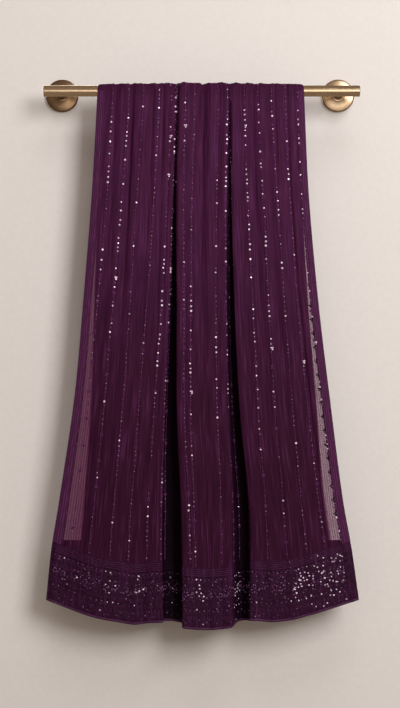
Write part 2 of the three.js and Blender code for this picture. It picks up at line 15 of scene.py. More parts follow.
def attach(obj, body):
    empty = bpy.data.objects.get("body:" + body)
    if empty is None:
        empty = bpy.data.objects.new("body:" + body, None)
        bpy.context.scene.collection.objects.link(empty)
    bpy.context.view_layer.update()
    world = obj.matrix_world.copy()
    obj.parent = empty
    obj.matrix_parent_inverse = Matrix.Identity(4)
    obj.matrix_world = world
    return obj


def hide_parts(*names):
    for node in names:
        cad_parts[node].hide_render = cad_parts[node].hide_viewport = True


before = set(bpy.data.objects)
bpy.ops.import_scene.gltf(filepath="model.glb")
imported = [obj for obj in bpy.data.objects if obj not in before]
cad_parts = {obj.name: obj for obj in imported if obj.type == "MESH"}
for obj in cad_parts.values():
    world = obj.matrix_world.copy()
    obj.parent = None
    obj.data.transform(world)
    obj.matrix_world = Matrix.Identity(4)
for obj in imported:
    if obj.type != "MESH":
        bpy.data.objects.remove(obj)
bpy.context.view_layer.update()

bl_info = {
    "name": "Saree on a wall rod",
    "version": (1, 0, 0),
    "blender": (4, 5, 0),
    "location": "3D View > Sidebar > Saree",
    "description": "Builds a hung saree with its sequins, border and brass rod",
    "category": "Add Mesh",
}

MM = 0.001
SHARP_ANGLE = 28.0


# ------------------------------------------------------------------ colours
def colour(red, green, blue):
    """A screen colour of 0 to 255 as the linear numbers that a shader takes."""
    shares = [channel / 255 for channel in (red, green, blue)]
    return tuple(c / 12.92 if c <= 0.04045 else ((c + 0.055) / 1.055) ** 2.4 for c in shares)


def opaque(rgb):
    return (*rgb, 1.0)


# ------------------------------------------------------------------ tables of the hanging
def table(text):
    """The columns of a short table, by the names in its first line."""
    names, *rows = (line.split() for line in text.strip().splitlines())
    return dict(zip(names, np.array(rows, float).T))


ROD_RADIUS = 12.0
ROD_LENGTH = 687.0
ROD_SHIFT = 3.5
ROD_TO_WALL = 65.0
POST_SPACING = 610.0
POST_RADIUS = 10.0
ROSE_RADIUS = 36.0
ROSE_RIM = 4.5
ROSE_HEIGHT = 9.0
ROSE_BOSS_RADIUS = 13.5
FITTING_GAP = 0.3
POST_TUCK = 3.0

FLAT_WIDTH = 830.0
BACK_DROP = 1080.0
MEAN_DROP = 1150.0
HIDDEN_FOOT = 1077.0
TURN_UNDER = 26.0
TURN_RADIUS = 3.0

# u runs across the cloth, from its left edge (0) to its right edge (1), in equal shares of flat cloth.
# s runs down the front stretch, from the rod (0) to the hem (1).
# A level is a distance in front of the rod's axis.
LEFT_FOLD = (0.3, 0.43)
RIGHT_FOLD = (0.575, 0.695)
# The front at seven heights: where its edges hang, and the levels at the edges, just inside them and of
# its three panels.
FRONT = table("""
s left right edge inside left_panel middle right_panel
  0 -221.6 224.8 12.6 13.9 16 17.6 16.2
0.2   -234 234.8 14.5 15.5 20   23   21
0.4 -251.2   254 15.5 16.5 23   28   24
0.6 -271.3   280 15.5 16.5 25   33   26
0.8 -303.8 308.5   14   16 26   37   27
0.9 -321.7 328.2   13 15.5 26   38 26.5
  1   -333 343.8   12   15 25   39   26
""")
# Shares of a side panel over which its level rises from the edge, and then to the panel's own.
EDGE_RISE = 0.045
PANEL_RISE = 0.5
# The deep folds: where their lips lie, the level of their floors and how far they reach under each lip.
LEFT_FOLD_ROWS = table("""
s lip_a lip_b floor under_a under_b
  0 -51.9 -45.4 14.4  0  0
0.2 -59.2 -50.4    4  2  2
0.4 -65.9 -49.5   -2  5  5
0.6 -75.7 -49.5   -5  8  9
0.8 -81.5   -40   -7 11 13
  1 -81.5 -36.8   -7 10 14
""")
RIGHT_FOLD_ROWS = table("""
s lip_a lip_b floor under_a under_b
  0 61.6   66 14.4 0 0
0.2 57.5 68.5    6 0 3
0.4 55.8 74.6    0 1 6
0.6 59.7 85.6   -3 2 8
0.8 69.5  107   -5 2 8
  1 69.2  108   -5 2 6
""")
FOLD_LIP = 0.85
FOLD_HOLLOW = 0.9

# Soft troughs of the front: place, half width and wander in shares of cloth, depth at five heights.
TROUGH_HEIGHTS = (0.0, 0.08, 0.16, 0.5, 1.0)
TROUGHS = table("""
u half wander rod near upper middle hem
0.035  0.02     0   0 0.4 0.8 0.6 1.5
0.071 0.018     0 0.8 1.2 1.6 0.8   1
0.132 0.016     0 1.4   3 4.5 1.6   1
0.208  0.02     0 1.2 1.4 1.6 0.8   2
0.252 0.016     0   1 1.4 1.8 1.2   3
0.504 0.015     0   3 3.6   4 1.6   1
0.545 0.014     0 1.2 1.3 1.4 0.8 1.5
0.733 0.015     0 1.2 1.2 1.2   1   1
 0.79 0.017     0 1.6 2.4 3.2   2 1.5
 0.85 0.017     0 1.6   2 2.4 3.4   2
0.915 0.018     0 1.2 1.5 1.8 2.8 2.5
0.962 0.016     0   0 0.5 0.9 0.7 1.5
0.073 0.005 0.001 0.8 1.6 1.2 0.2   0
0.136 0.006 0.001   2 4.6 3.8 0.5   0
0.214 0.005 0.002 0.8 1.4   1 0.3 0.2
0.258 0.005 0.002 0.8 1.8 1.4 0.5 0.6
0.502 0.006 0.001 3.2 4.4 2.6 0.4   0
0.546 0.005 0.001   1 1.8 1.2 0.3 0.2
0.787 0.005 0.001 0.8 2.6 2.2 0.4   0
0.879 0.005 0.001 1.2 2.8 2.4 0.6 0.2
0.931 0.005 0.001 0.6 1.2 1.9   2 0.5
""")
# Small creases and gathers of the front, which stand out of the cloth in the same way.
RIDGES = table("""
u half wander rod near upper middle hem
0.018 0.006 0.002   0 0.3 0.5 0.7 0.4
0.052 0.007 0.004 0.6   1 0.8 0.2   0
0.096 0.006 0.003 0.9 1.3 0.9 0.3   0
0.118 0.006 0.004 0.4 1.6 1.8 0.4   0
0.151 0.005 0.003 1.2 1.5 1.4 0.3 0.2
0.178 0.006 0.003 0.8 1.2 0.4   0   0
0.226 0.007 0.004 1.3 1.6   1 0.4 0.3
0.268 0.006 0.003   1 1.7 1.3 0.6 0.8
0.292 0.006 0.001 1.6 2.2 1.6   1 0.8
0.436 0.007 0.001 4.2 2.6 1.4   1 0.6
0.462 0.006 0.003   1 1.4 0.8 0.3   0
0.486 0.006 0.003 1.6 1.8 1.4 0.5 0.2
0.524 0.006 0.002 1.4 1.9 1.4 0.4 0.3
0.566 0.006 0.001 2.2 1.8 1.2 0.8 0.5
0.703 0.006 0.001   3   2   1 0.9 0.8
0.718 0.005 0.002 0.8 1.2 0.6 0.2   0
0.755 0.006 0.003 2.6 1.8   1 0.5 0.3
0.772 0.005 0.003 1.2 1.4   1 0.3   0
0.818 0.006 0.003 1.8 1.6 1.2   1 0.6
0.882 0.006 0.003   1 1.3 1.2 1.2 0.7
0.938 0.006 0.003 0.8   1   1 0.9 0.6
 0.98 0.006 0.002   0 0.4 0.6 0.5 0.4
""")
# Creases across the cloth from lying folded: place, drop, half sizes, slope and height.
CROSS_CREASES = table("""
u drop half_u half_drop slope height
0.11 798  0.06 6  20 0.9
 0.2 806  0.05 7 -30 0.5
 0.5 812  0.05 6  10 0.6
0.76 806 0.055 6 -40 1.2
0.86 797  0.06 6 -60   1
0.18 402  0.06 7  25 0.5
0.83 408  0.07 7 -25 0.6
""")
# How far below the rod's axis the hem hangs.
HEM = table("""
u drop
    0 1103
0.062 1122
0.124 1139
0.186 1149
0.233 1155
0.279 1151
0.365 1152
 0.43 1161
  0.5 1164
 0.56 1161
0.635 1151
  0.7 1146
 0.75 1149
0.805 1145
0.862 1134
0.918 1122
    1 1103
""")
# The back at five heights, and its folds and creases, with their height at BACK_HEIGHTS.
BACK = table("""
s left right level
  0 -214 217 14.6
0.2 -219 222   16
0.5 -233 241   17
0.8 -250 267 17.5
  1 -259 284   17
""")
BACK_HEIGHTS = (0.0, 0.5, 1.0)
BACK_RIDGES = table("""
u half wander rod middle foot
 0.1  0.07     0 0.8   7   9
0.27  0.06     0 1.6  10  12
0.43 0.055     0 1.2   7   8
0.58  0.06     0   2  12  14
0.74 0.055     0 1.4   8  10
 0.9  0.06     0 0.8   9  11
0.04  0.01 0.004 0.6 0.8 0.6
0.16 0.009 0.006 1.2 0.6 0.9
0.22 0.008 0.005   1   1 0.4
0.33 0.009 0.004 1.4 0.8 0.8
0.39 0.008 0.006   1 0.4 0.6
0.49 0.009 0.006 1.3 0.9 0.7
0.55 0.008 0.004 1.6 0.7 0.5
0.65 0.009 0.005 1.2   1 0.8
 0.7 0.008 0.006 0.9 0.5 0.6
0.81 0.009 0.004 1.2 0.8   1
0.86 0.008 0.005 0.8 0.6 0.5
0.96 0.009 0.003 0.5 0.9 0.7
""")
# The hidden layers: how far their edges lie inside the front's, and their levels in and beside a wide dip.
HIDDEN = table("""
s inset_left inset_right deep shallow
   0 0.022  0.025 13.5 13.5
0.06 0.024  0.026  8.5 10.5
 0.2 0.031  0.033  1.2   10
 0.4 0.047 0.0445 -4.6   11
 0.6 0.068 0.0555 -7.6 11.5
 0.8 0.088  0.068 -9.4 10.5
   1 0.106  0.072 -9.4  9.5
""")
HIDDEN_DIP = (0.12, 0.26, 0.76, 0.89)

# Lines of sequins down the cloth: place, how far the line drifts from it at four heights, the share of its
# sequins painted with a flash, a painted highlight, at those heights, and whether flowers are worked on it.
LINE_HEIGHTS = (0.05, 0.25, 0.5, 0.8)
SEQUIN_LINES = table("""
u drift_rod drift_upper drift_middle drift_foot rod upper middle foot flowers
 0.05  0.009  0.007 -0.004      0  0.2 0.15 0.04 0.02 1
0.105  0.017  0.006 -0.005 -0.003  0.2  0.6  0.1 0.02 1
0.164  0.013  0.002 -0.002 -0.004 0.08 0.04 0.03 0.05 0
0.221  0.016  0.009 -0.003  -0.01 0.03 0.04 0.03 0.03 1
0.266   0.02  0.014  0.005 -0.004 0.06  0.4 0.46 0.03 1
0.303      0      0      0      0 0.34 0.15 0.08 0.02 0
0.345      0      0      0      0 0.04 0.06 0.04 0.02 1
 0.39      0      0      0      0 0.02 0.02 0.03 0.02 0
0.449      0      0      0      0 0.03 0.03 0.08 0.03 1
0.495 -0.018 -0.022 -0.026  -0.03  0.1 0.06  0.2 0.03 1
0.547      0      0      0      0 0.15 0.12  0.2 0.03 0
0.584 -0.011 -0.011  0.004  0.004  0.6 0.24  0.3 0.08 1
0.625      0      0      0      0 0.06 0.06 0.08 0.06 1
0.674      0      0 -0.006 -0.008  0.3 0.12 0.04 0.02 0
0.748  0.004  0.009  0.011 -0.004 0.55 0.46 0.28 0.04 1
0.805  0.004  0.016  0.011 -0.002 0.36 0.24 0.34 0.08 1
0.862  0.002  0.015  0.013  0.002 0.36  0.3 0.05 0.03 0
0.903  0.018  0.022   0.02  0.018 0.16 0.06 0.04  0.1 1
 0.96  0.012  0.012  0.012  0.012  0.3  0.3  0.2  0.1 1
""")

# The piping: its section, the length round it and the sides that it is built with.
PIPING_THICKNESS = 3.2
PIPING_HEIGHT = 5.6
PIPING_ROUND = 14.0
PIPING_SIDES = 12

# Where the border's pieces start down the front, as values of s on a fall of MEAN_DROP.
TAPE_HEIGHT = 20.0
BAND_HEIGHT = 83.0
FOOT_BAND_HEIGHT = 23.0
HEM_S = 1 - (PIPING_HEIGHT + FITTING_GAP) / MEAN_DROP
FOOT_BAND_TOP = HEM_S - FOOT_BAND_HEIGHT / MEAN_DROP
BAND_TOP = FOOT_BAND_TOP - BAND_HEIGHT / MEAN_DROP
TAPE_TOP = BAND_TOP - TAPE_HEIGHT / MEAN_DROP
HALF_SEAM = 0.25 / MEAN_DROP
LAP = 1.2 / MEAN_DROP
RIB_PITCH = 9.0
RIB_HEIGHT = 0.8
CORD_HEIGHT = 0.35

# The edge bands and the sheer strips beside them: widths in shares of cloth, heights in millimetres.
EDGE_BAND_SHARE = 0.026
SHEER_OVERLAP = 0.001
SHEER_INSET = 0.002
SHEER_BLEND = 0.003
SHEER_TOP = 260.0
SHEER_FADE = 60.0
SHEER_FOOT = 973.0

# How far each sheet's outer face lies out from the cloth's surface, and how far the work on it rises.
CLOTH_LIFT = 1.0
BORDER_LIFT = 1.5
EDGE_BAND_LIFT = 1.9
LAP_DEPTH = 0.3
THREAD_LIFT = 0.35
PETAL_LIFT = 0.5
SEQUIN_LIFT = 0.7
SCROLL_LIFT = 0.5
BORDER_SEQUIN_LIFT = 0.9
PIPING_LIFT = 0.85

# Thicknesses that don't change with the panel's sizes.
INNER_THICKNESS = 0.8
EDGE_BAND_THICKNESS = 0.5
THREAD_THICKNESS = 0.25
SCROLL_THICKNESS = 0.4
PETAL_THICKNESS = 0.7
BEAD_RADIUS = 1.2

# The face of the hidden layers steps back by this much within this share of their width from each edge.
LAYER_STEP = 0.9
LAYER_RIM = 0.013

# Length of cloth over the rod.
OVER_ROD = 50.0

# Shares of the sequins and flowers that are missing from a line, and the knots beside the edge bands.
SEQUINS_MISSING = 0.14
FLOWERS_MISSING = 0.3
KNOT_TOP = 0.42
KNOT_PITCH = 0.027

# Pitches of woven lines, in metres of cloth.
SHEER_RIB_PITCH = 0.0058
EDGE_CORD_PITCH = 0.0054
TAPE_LINE_PITCH = 0.00444
BAND_LINE_PITCH = 0.0166

# Patches of the border whose sequins get a painted flash: place, reach across the cloth and share that is
# painted so.
PAINTED_FLASH_PATCHES = table("""
    u reach share
 0.05  0.01   0.1
0.155  0.02   0.2
0.245 0.012   0.3
0.353 0.012   0.2
0.482 0.018  0.55
0.605  0.02   0.5
0.895 0.085  0.44
""")
PAINTED_FLASH_ELSEWHERE = 0.014


# ------------------------------------------------------------------ forms of the cloth
def smooth(t):
    c = np.clip(t, 0.0, 1.0)
    return c * c * (3 - 2 * c)


def mix(a, b, t):
    return a + (b - a) * t


def through(x, y, at):
    """A smooth curve through points x, y, read at many places."""
    p = np.clip(at, x[0], x[-1])
    k = np.clip(np.searchsorted(x, p, side="left") - 1, 0, len(x) - 2)
    before = np.maximum(np.arange(len(x)) - 1, 0)
    after = np.minimum(np.arange(len(x)) + 1, len(x) - 1)
    slope = (y[after] - y[before]) / (x[after] - x[before])
    width = x[k + 1] - x[k]
    t = (p - x[k]) / width
    t2, t3 = t * t, t * t * t
    start = (2 * t3 - 3 * t2 + 1) * y[k] + (t3 - 2 * t2 + t) * width * slope[k]
    return start + (3 * t2 - 2 * t3) * y[k + 1] + (t3 - t2) * width * slope[k + 1]


def curve(rows, name, at, along="s"):
    return through(rows[along], rows[name], at)


def bells(folds, heights, names, u, s):
    """The sum of bell-shaped folds, each with its own depth at some heights, and wandering a little."""
    total = np.zeros(np.broadcast(u, s).shape)
    x = np.array(heights)
    for k, place in enumerate(folds["u"]):
        depth = through(x, np.array([folds[name][k] for name in names]), s)
        wander = folds["wander"][k] * np.sin(7.0 * s + 2.4 * k)
        total += depth * np.exp(-(((u - place - wander) / folds["half"][k]) ** 2))
    return total


def fold_at(rows, s):
    lip_a, lip_b = (curve(rows, name, s) for name in ("lip_a", "lip_b"))
    floor, under_a, under_b = (curve(rows, name, s) for name in ("floor", "under_a", "under_b"))
    return (lip_a + lip_b) / 2, (lip_b - lip_a) / 2 / FOLD_LIP, floor, under_a, under_b


def inside_fold(fold, t, level_a, level_b):
    """Place across and level of the points of a deep fold; t runs from -1 at its left to 1 at its right."""
    centre, reach, floor, under_a, under_b = fold
    side = np.abs(t)
    under = np.where(t < 0, under_a, under_b)
    level = np.where(t < 0, level_a, level_b)
    hollow = np.where(side < FOLD_HOLLOW, np.sin(math.pi * side / FOLD_HOLLOW) ** 2, 0.0)
    rise = np.sin(math.pi * side / 2) ** 2
    return centre + reach * t + np.sign(t) * under * hollow, floor + (level - floor) * rise


def undulation(u, s):
    """A slight unevenness of hanging cloth, in millimetres."""
    slow = np.sin(19.0 * u + 5.0 * s + 0.6) * np.sin(9.0 * s - 7.0 * u)
    quick = np.sin(61.0 * u - 4.0 * s) * np.sin(23.0 * s + 11.0 * u + 1.0)
    return 0.55 * slow + 0.3 * quick


def front_section(u, s):
    left, right, edge, inside, level_a, level_b, level_c = (
        curve(FRONT, name, s)
        for name in ("left", "right", "edge", "inside", "left_panel", "middle", "right_panel")
    )
    fold_a = fold_at(LEFT_FOLD_ROWS, s)
    fold_b = fold_at(RIGHT_FOLD_ROWS, s)
    names = ("rod", "near", "upper", "middle", "hem")
    soft = bells(TROUGHS, TROUGH_HEIGHTS, names, u, s)
    raised = bells(RIDGES, TROUGH_HEIGHTS, names, u, s)
    away_from_rod = smooth(s / 0.05)
    relief = raised - soft + undulation(u, s) * away_from_rod

    def side_level(p, full):
        return edge + (inside - edge) * smooth(p / EDGE_RISE) + (full - inside) * smooth(p / PANEL_RISE)

    share_a = u / LEFT_FOLD[0]
    x_a = mix(left, fold_a[0] - fold_a[1], share_a)
    turn_a = mix(-1.0, 1.0, (u - LEFT_FOLD[0]) / (LEFT_FOLD[1] - LEFT_FOLD[0]))
    in_a = inside_fold(fold_a, np.clip(turn_a, -1, 1), level_a, level_b)
    share_b = (u - LEFT_FOLD[1]) / (RIGHT_FOLD[0] - LEFT_FOLD[1])
    x_b = mix(fold_a[0] + fold_a[1], fold_b[0] - fold_b[1], share_b)
    turn_b = mix(-1.0, 1.0, (u - RIGHT_FOLD[0]) / (RIGHT_FOLD[1] - RIGHT_FOLD[0]))
    in_b = inside_fold(fold_b, np.clip(turn_b, -1, 1), level_b, level_c)
    share_c = (u - RIGHT_FOLD[1]) / (1 - RIGHT_FOLD[1])
    x_c = mix(fold_b[0] + fold_b[1], right, share_c)
    zones = [u <= LEFT_FOLD[0], u < LEFT_FOLD[1], u <= RIGHT_FOLD[0], u < RIGHT_FOLD[1]]
    x = np.select(zones, [x_a, in_a[0], x_b, in_b[0]], x_c)
    base = [side_level(share_a, level_a), in_a[1], level_b + 0 * u, in_b[1]]
    level = np.select(zones, base, side_level(1 - share_c, level_c))
    in_fold = (zones[1] & ~zones[0]) | (zones[3] & ~zones[2])
    return x, level + np.where(in_fold, raised * 0.5, relief)


def back_section(u, s):
    left, right, level = (curve(BACK, name, s) for name in ("left", "right", "level"))
    ridges = bells(BACK_RIDGES, BACK_HEIGHTS, ("rod", "middle", "foot"), u, s)
    return mix(left, right, u), level + ridges + 0.6 * undulation(u + 0.3, s) * smooth(s / 0.05)


def drop(u):
    return curve(HEM, "drop", u, along="u")


def point(x, y, z):
    return np.stack(np.broadcast_arrays(x, y, z), axis=-1)


def cross_creases(u, down):
    total = np.zeros(np.broadcast(u, down).shape)
    for k, place in enumerate(CROSS_CREASES["u"]):
        across = (u - place) / CROSS_CREASES["half_u"][k]
        middle = CROSS_CREASES["drop"][k] + CROSS_CREASES["slope"][k] * (u - place)
        along = (down - middle) / CROSS_CREASES["half_drop"][k]
        total += CROSS_CREASES["height"][k] * np.exp(-across * across - along * along)
    return total


def front_point(u, s):
    """The cloth in front (s from 0 to 1) and over the rod (s below 0, where -1 is the rod's back)."""
    fall = np.maximum(s, 0.0)
    x, level = front_section(u, fall)
    down = fall * drop(u)
    level = level + cross_creases(u, down)
    back_x, back_level = back_section(u, np.zeros_like(fall))
    turn = np.clip(-s, 0.0, 1.0)
    blend = smooth(turn)
    radius = mix(level, back_level, blend)
    angle = math.pi * turn
    return point(
        mix(x, back_x, blend),
        -ROD_TO_WALL - radius * np.cos(angle),
        radius * np.sin(angle) - down,
    )


def back_point(u, s):
    """The cloth behind (s from 0 to 1) and turned up at its foot (s from 1 to 2)."""
    foot = 1 - (TURN_RADIUS + CLOTH_LIFT) / BACK_DROP
    fall = np.minimum(s, foot)
    x, level = back_section(u, fall)
    turn = np.clip((s - foot) / (1.5 - foot), 0.0, 1.0)
    angle = math.pi * turn
    up = np.clip((s - 1.5) / 0.5, 0.0, 1.0) * TURN_UNDER
    return point(
        x,
        -ROD_TO_WALL + level - TURN_RADIUS * (1 - np.cos(angle)),
        -fall * BACK_DROP - TURN_RADIUS * np.sin(angle) + up,
    )


def hidden_front_level(u, s):
    deep, shallow = (curve(HIDDEN, name, s) for name in ("deep", "shallow"))
    left = smooth((u - HIDDEN_DIP[0]) / (HIDDEN_DIP[1] - HIDDEN_DIP[0]))
    right = smooth((HIDDEN_DIP[3] - u) / (HIDDEN_DIP[3] - HIDDEN_DIP[2]))
    return mix(shallow, deep, left * right)


def hidden_point(p, s):
    """The hidden layers: s from 0 to 1 down the front, 0 to -1 over the rod, -1 to -2 down the back."""
    fall = np.clip(s, 0.0, 1.0)
    rear = np.clip(-1 - s, 0.0, 1.0)
    u = mix(curve(HIDDEN, "inset_left", fall), 1 - curve(HIDDEN, "inset_right", fall), p)
    x = mix(curve(FRONT, "left", fall), curve(FRONT, "right", fall), u)
    rear_x = mix(curve(BACK, "left", rear), curve(BACK, "right", rear), mix(0.05, 0.95, p))
    turn = np.clip(-s, 0.0, 1.0)
    angle = math.pi * turn
    level = hidden_front_level(u, fall)
    level = level + 0.5 * undulation(u + 0.7, fall) * smooth(fall / 0.1)
    return point(
        mix(x, rear_x, smooth(turn)),
        -ROD_TO_WALL - level * np.cos(angle),
        level * np.sin(angle) - fall * HIDDEN_FOOT - rear * (HIDDEN_FOOT - 2 * TURN_UNDER),
    )


def outward(surface, u, s, side):
    """Unit normals of a surface; side is -1 or 1, whichever makes them point away from the rod."""
    step = 1e-4
    across = surface(u + step, s) - surface(u - step, s)
    along = surface(u, s + step) - surface(u, s - step)
    normal = np.cross(across, along)
    return side * normal / np.linalg.norm(normal, axis=-1, keepdims=True)


def laid(surface, u, s, lift, side=-1):
    """Points of a surface, moved out from it, in metres."""
    lifted = np.asarray(lift)[..., None] * outward(surface, u, s, side)
    return (surface(u, s) + lifted) * MM


def flat_place(u, down):
    """Where points lie on the flat cloth, in metres; down is their distance along it in millimetres."""
    return np.stack([u * FLAT_WIDTH * MM, down * MM], axis=-1)


# ------------------------------------------------------------------ meshes
def finish_piece(name, mesh, material, slot, *replaces):
    mesh.name = name
    mesh.materials.append(material)
    piece = bpy.data.objects.new(name, mesh)
    bpy.context.scene.collection.objects.link(piece)
    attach(piece, "root")
    if replaces:
        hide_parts(*replaces)
    return piece


def to_mesh(bm, name, rounded=False):
    """Ends a bmesh and gives its mesh."""
    mesh = bpy.data.meshes.new(name)
    bm.to_mesh(mesh)
    bm.free()
    if rounded:
        mesh.polygons.foreach_set("use_smooth", np.ones(len(mesh.polygons), bool))
    return mesh


def woven_grid(points, uvs, outside_in):
    """A grid of cloth laid on rows of points, with its own UV map in metres of flat cloth."""
    rows, columns = points.shape[:2]
    bm = bmesh.new()
    bmesh.ops.create_grid(bm, x_segments=columns - 1, y_segments=rows - 1, size=0.5)
    if outside_in:
        bmesh.ops.reverse_faces(bm, faces=bm.faces)
    mesh = to_mesh(bm, "cloth", rounded=True)
    mesh.vertices.foreach_set("co", points.astype(np.float32).ravel())
    corner = np.zeros(len(mesh.loops), np.int32)
    mesh.loops.foreach_get("vertex_index", corner)
    layer = mesh.uv_layers.new(name="cloth")
    layer.data.foreach_set("uv", uvs.reshape(-1, 2)[corner].astype(np.float32).ravel())
    mesh.update()
    return mesh


def guarded(values, gap=0.0004):
    """Adds a line close to each end, so that the turn of the rim stays out of the face's shading."""
    return np.concatenate([values[:1], values[:1] + gap, values[1:-1], values[-1:] - gap, values[-1:]])


def sheet_mesh(surface, us, ss, lift, down, side=-1, relief=None, painted=None):
    """A cloth mesh on a surface. down gives each row's distance along the cloth, in millimetres."""
    u, s = np.meshgrid(guarded(us), guarded(ss))
    points = laid(surface, u, s, lift + (relief(u, s) if relief else 0.0), side)
    mesh = woven_grid(points, flat_place(u, down(u, s)), outside_in=side < 0)
    for name, values in (painted or {}).items():
        attribute = mesh.attributes.new(name, "FLOAT", "POINT")
        attribute.data.foreach_set("value", values(u, s).astype(np.float32).ravel())
    return mesh


def thicken(piece, thickness):
    """Gives a laid sheet its own thickness, inward from the laid face."""
    solid = piece.modifiers.new("thickness", "SOLIDIFY")
    solid.thickness = thickness * MM
    solid.offset = -1.0
    return piece


def joined(meshes, name):
    """One mesh from several."""
    bm = bmesh.new()
    for mesh in meshes:
        bm.from_mesh(mesh)
        bpy.data.meshes.remove(mesh)
    return to_mesh(bm, name)


def upright(place, normal, tilt, heading):
    """A matrix that stands something on a point, its Z along the normal, then leans it over a little."""
    turn = Vector(normal).to_track_quat("Z", "Y").to_matrix().to_4x4()
    lean = Matrix.Rotation(heading, 4, "Z") @ Matrix.Rotation(tilt, 4, "X")
    return Matrix.Translation(Vector(place)) @ turn @ lean


def disc_mesh(places, normals, sizes, tilts, headings, painted_glints, sides):
    """Sequins: shallow cut cones, each with its share of painted flash, a painted highlight, as an
    attribute.
    """
    bm = bmesh.new()
    painted_glint = bm.verts.layers.float.new("painted_glint")
    for place, normal, size, tilt, heading, painted_flash in zip(places, normals, sizes, tilts, headings, painted_glints):
        made = bmesh.ops.create_cone(
            bm,
            cap_ends=True,
            cap_tris=True,
            segments=sides,
            radius1=size * MM / 2,
            radius2=size * MM * 0.3,
            depth=size * MM * 0.18,
            matrix=upright(place, normal, tilt, heading),
        )
        for vert in made["verts"]:
            vert[painted_glint] = painted_flash
    return to_mesh(bm, "sequins")


def scatter_discs(surface, u, s, lift, sizes, painted_glints, rng, sides=8, side=-1):
    """Sequins laid on a surface at many places at once."""
    u, s = np.asarray(u, float), np.asarray(s, float)
    places = laid(surface, u, s, lift, side)
    normals = outward(surface, u, s, side)
    tilts = [rng.gauss(0.0, 0.2) for _ in u]
    headings = [rng.uniform(0.0, 2 * math.pi) for _ in u]
    return disc_mesh(places, normals, sizes, tilts, headings, painted_glints, sides)


def spun(profile, name):
    """A turned shape about the Z axis, from a profile of radius and height in millimetres."""
    bm = bmesh.new()
    verts = [bm.verts.new((radius * MM, 0.0, height * MM)) for radius, height in profile]
    edges = [bm.edges.new(pair) for pair in zip(verts, verts[1:])]
    bmesh.ops.spin(
        bm,
        geom=verts + edges,
        axis=(0, 0, 1),
        cent=(0, 0, 0),
        angle=2 * math.pi,
        steps=96,
        use_merge=True,
        use_normal_flip=False,
        use_duplicate=False,
    )
    bmesh.ops.remove_doubles(bm, verts=bm.verts, dist=1e-6)
    bmesh.ops.recalc_face_normals(bm, faces=bm.faces)
    mesh = to_mesh(bm, name, rounded=True)
    mesh.set_sharp_from_angle(angle=math.radians(SHARP_ANGLE))
    return mesh


# ------------------------------------------------------------------ materials
class Finish:
    """A material's shader, with short calls for the nodes that feed it."""

    def __init__(self, name, **sockets):
        self.material = bpy.data.materials.new(name)
        self.material.use_nodes = True
        self.tree = self.material.node_tree
        self.shader = self.tree.nodes["Principled BSDF"]
        for socket, value in sockets.items():
            self.shader.inputs[socket.replace("_", " ").title().replace("Ior", "IOR")].default_value = value

    def node(self, kind, inputs, **settings):
        node = self.tree.nodes.new(kind)
        for key, value in settings.items():
            setattr(node, key, value)
        for socket, value in inputs.items():
            if isinstance(value, bpy.types.NodeSocket):
                self.tree.links.new(value, node.inputs[socket])
            else:
                node.inputs[socket].default_value = value
        return node

    def maths(self, operation, first, second=0.0, third=0.0):
        node = self.node("ShaderNodeMath", {0: first, 1: second, 2: third}, operation=operation)
        return node.outputs[0]

    def times(self, first, second):
        return self.maths("MULTIPLY", first, second)

    def plus(self, first, second):
        return self.maths("ADD", first, second)

    def minus(self, first, second):
        return self.maths("SUBTRACT", first, second)

    def blend(self, share, first, second):
        """A mix of two colours, each a socket or three linear numbers."""
        ends = [end if isinstance(end, bpy.types.NodeSocket) else opaque(end) for end in (first, second)]
        return self.node("ShaderNodeMix", {0: share, 6: ends[0], 7: ends[1]}, data_type="RGBA").outputs[2]

    def span(self, value, low, high, to_low=0.0, to_high=1.0):
        """A soft step of a value, from to_low at low to to_high at high."""
        node = self.node(
            "ShaderNodeMapRange",
            {"Value": value, "From Min": low, "From Max": high, "To Min": to_low, "To Max": to_high},
            interpolation_type="SMOOTHSTEP",
        )
        return node.outputs[0]

    def cloth_place(self):
        return self.node("ShaderNodeUVMap", {}, uv_map="cloth").outputs[0]

    def object_place(self):
        return self.node("ShaderNodeTexCoord", {}).outputs["Object"]

    def parts(self, vector):
        return self.node("ShaderNodeSeparateXYZ", {0: vector}).outputs

    def painted(self, name):
        """A number painted on the points of the mesh."""
        node = self.node("ShaderNodeAttribute", {}, attribute_name=name, attribute_type="GEOMETRY")
        return node.outputs["Fac"]

    def grain(self, place, across, down, deep=1.0, detail=2.0):
        """Noise with its own number of grains to a metre along each axis."""
        drawn = self.node("ShaderNodeMapping", {"Vector": place, "Scale": (across, down, deep)}).outputs[0]
        return self.node("ShaderNodeTexNoise", {"Vector": drawn, "Scale": 1.0, "Detail": detail}).outputs[0]

    def feed(self, socket, value):
        self.tree.links.new(value, self.shader.inputs[socket])

    def bump(self, height, strength, distance):
        """Sends the height to the shader as a bump."""
        inputs = {"Height": height, "Strength": strength, "Distance": distance}
        self.feed("Normal", self.node("ShaderNodeBump", inputs).outputs[0])


def cloth_sheen(colours):
    """The sheen that the ground cloth and the border share."""
    return {"sheen_weight": 0.03, "sheen_roughness": 0.4, "sheen_tint": opaque(colours.cloth_sheen)}


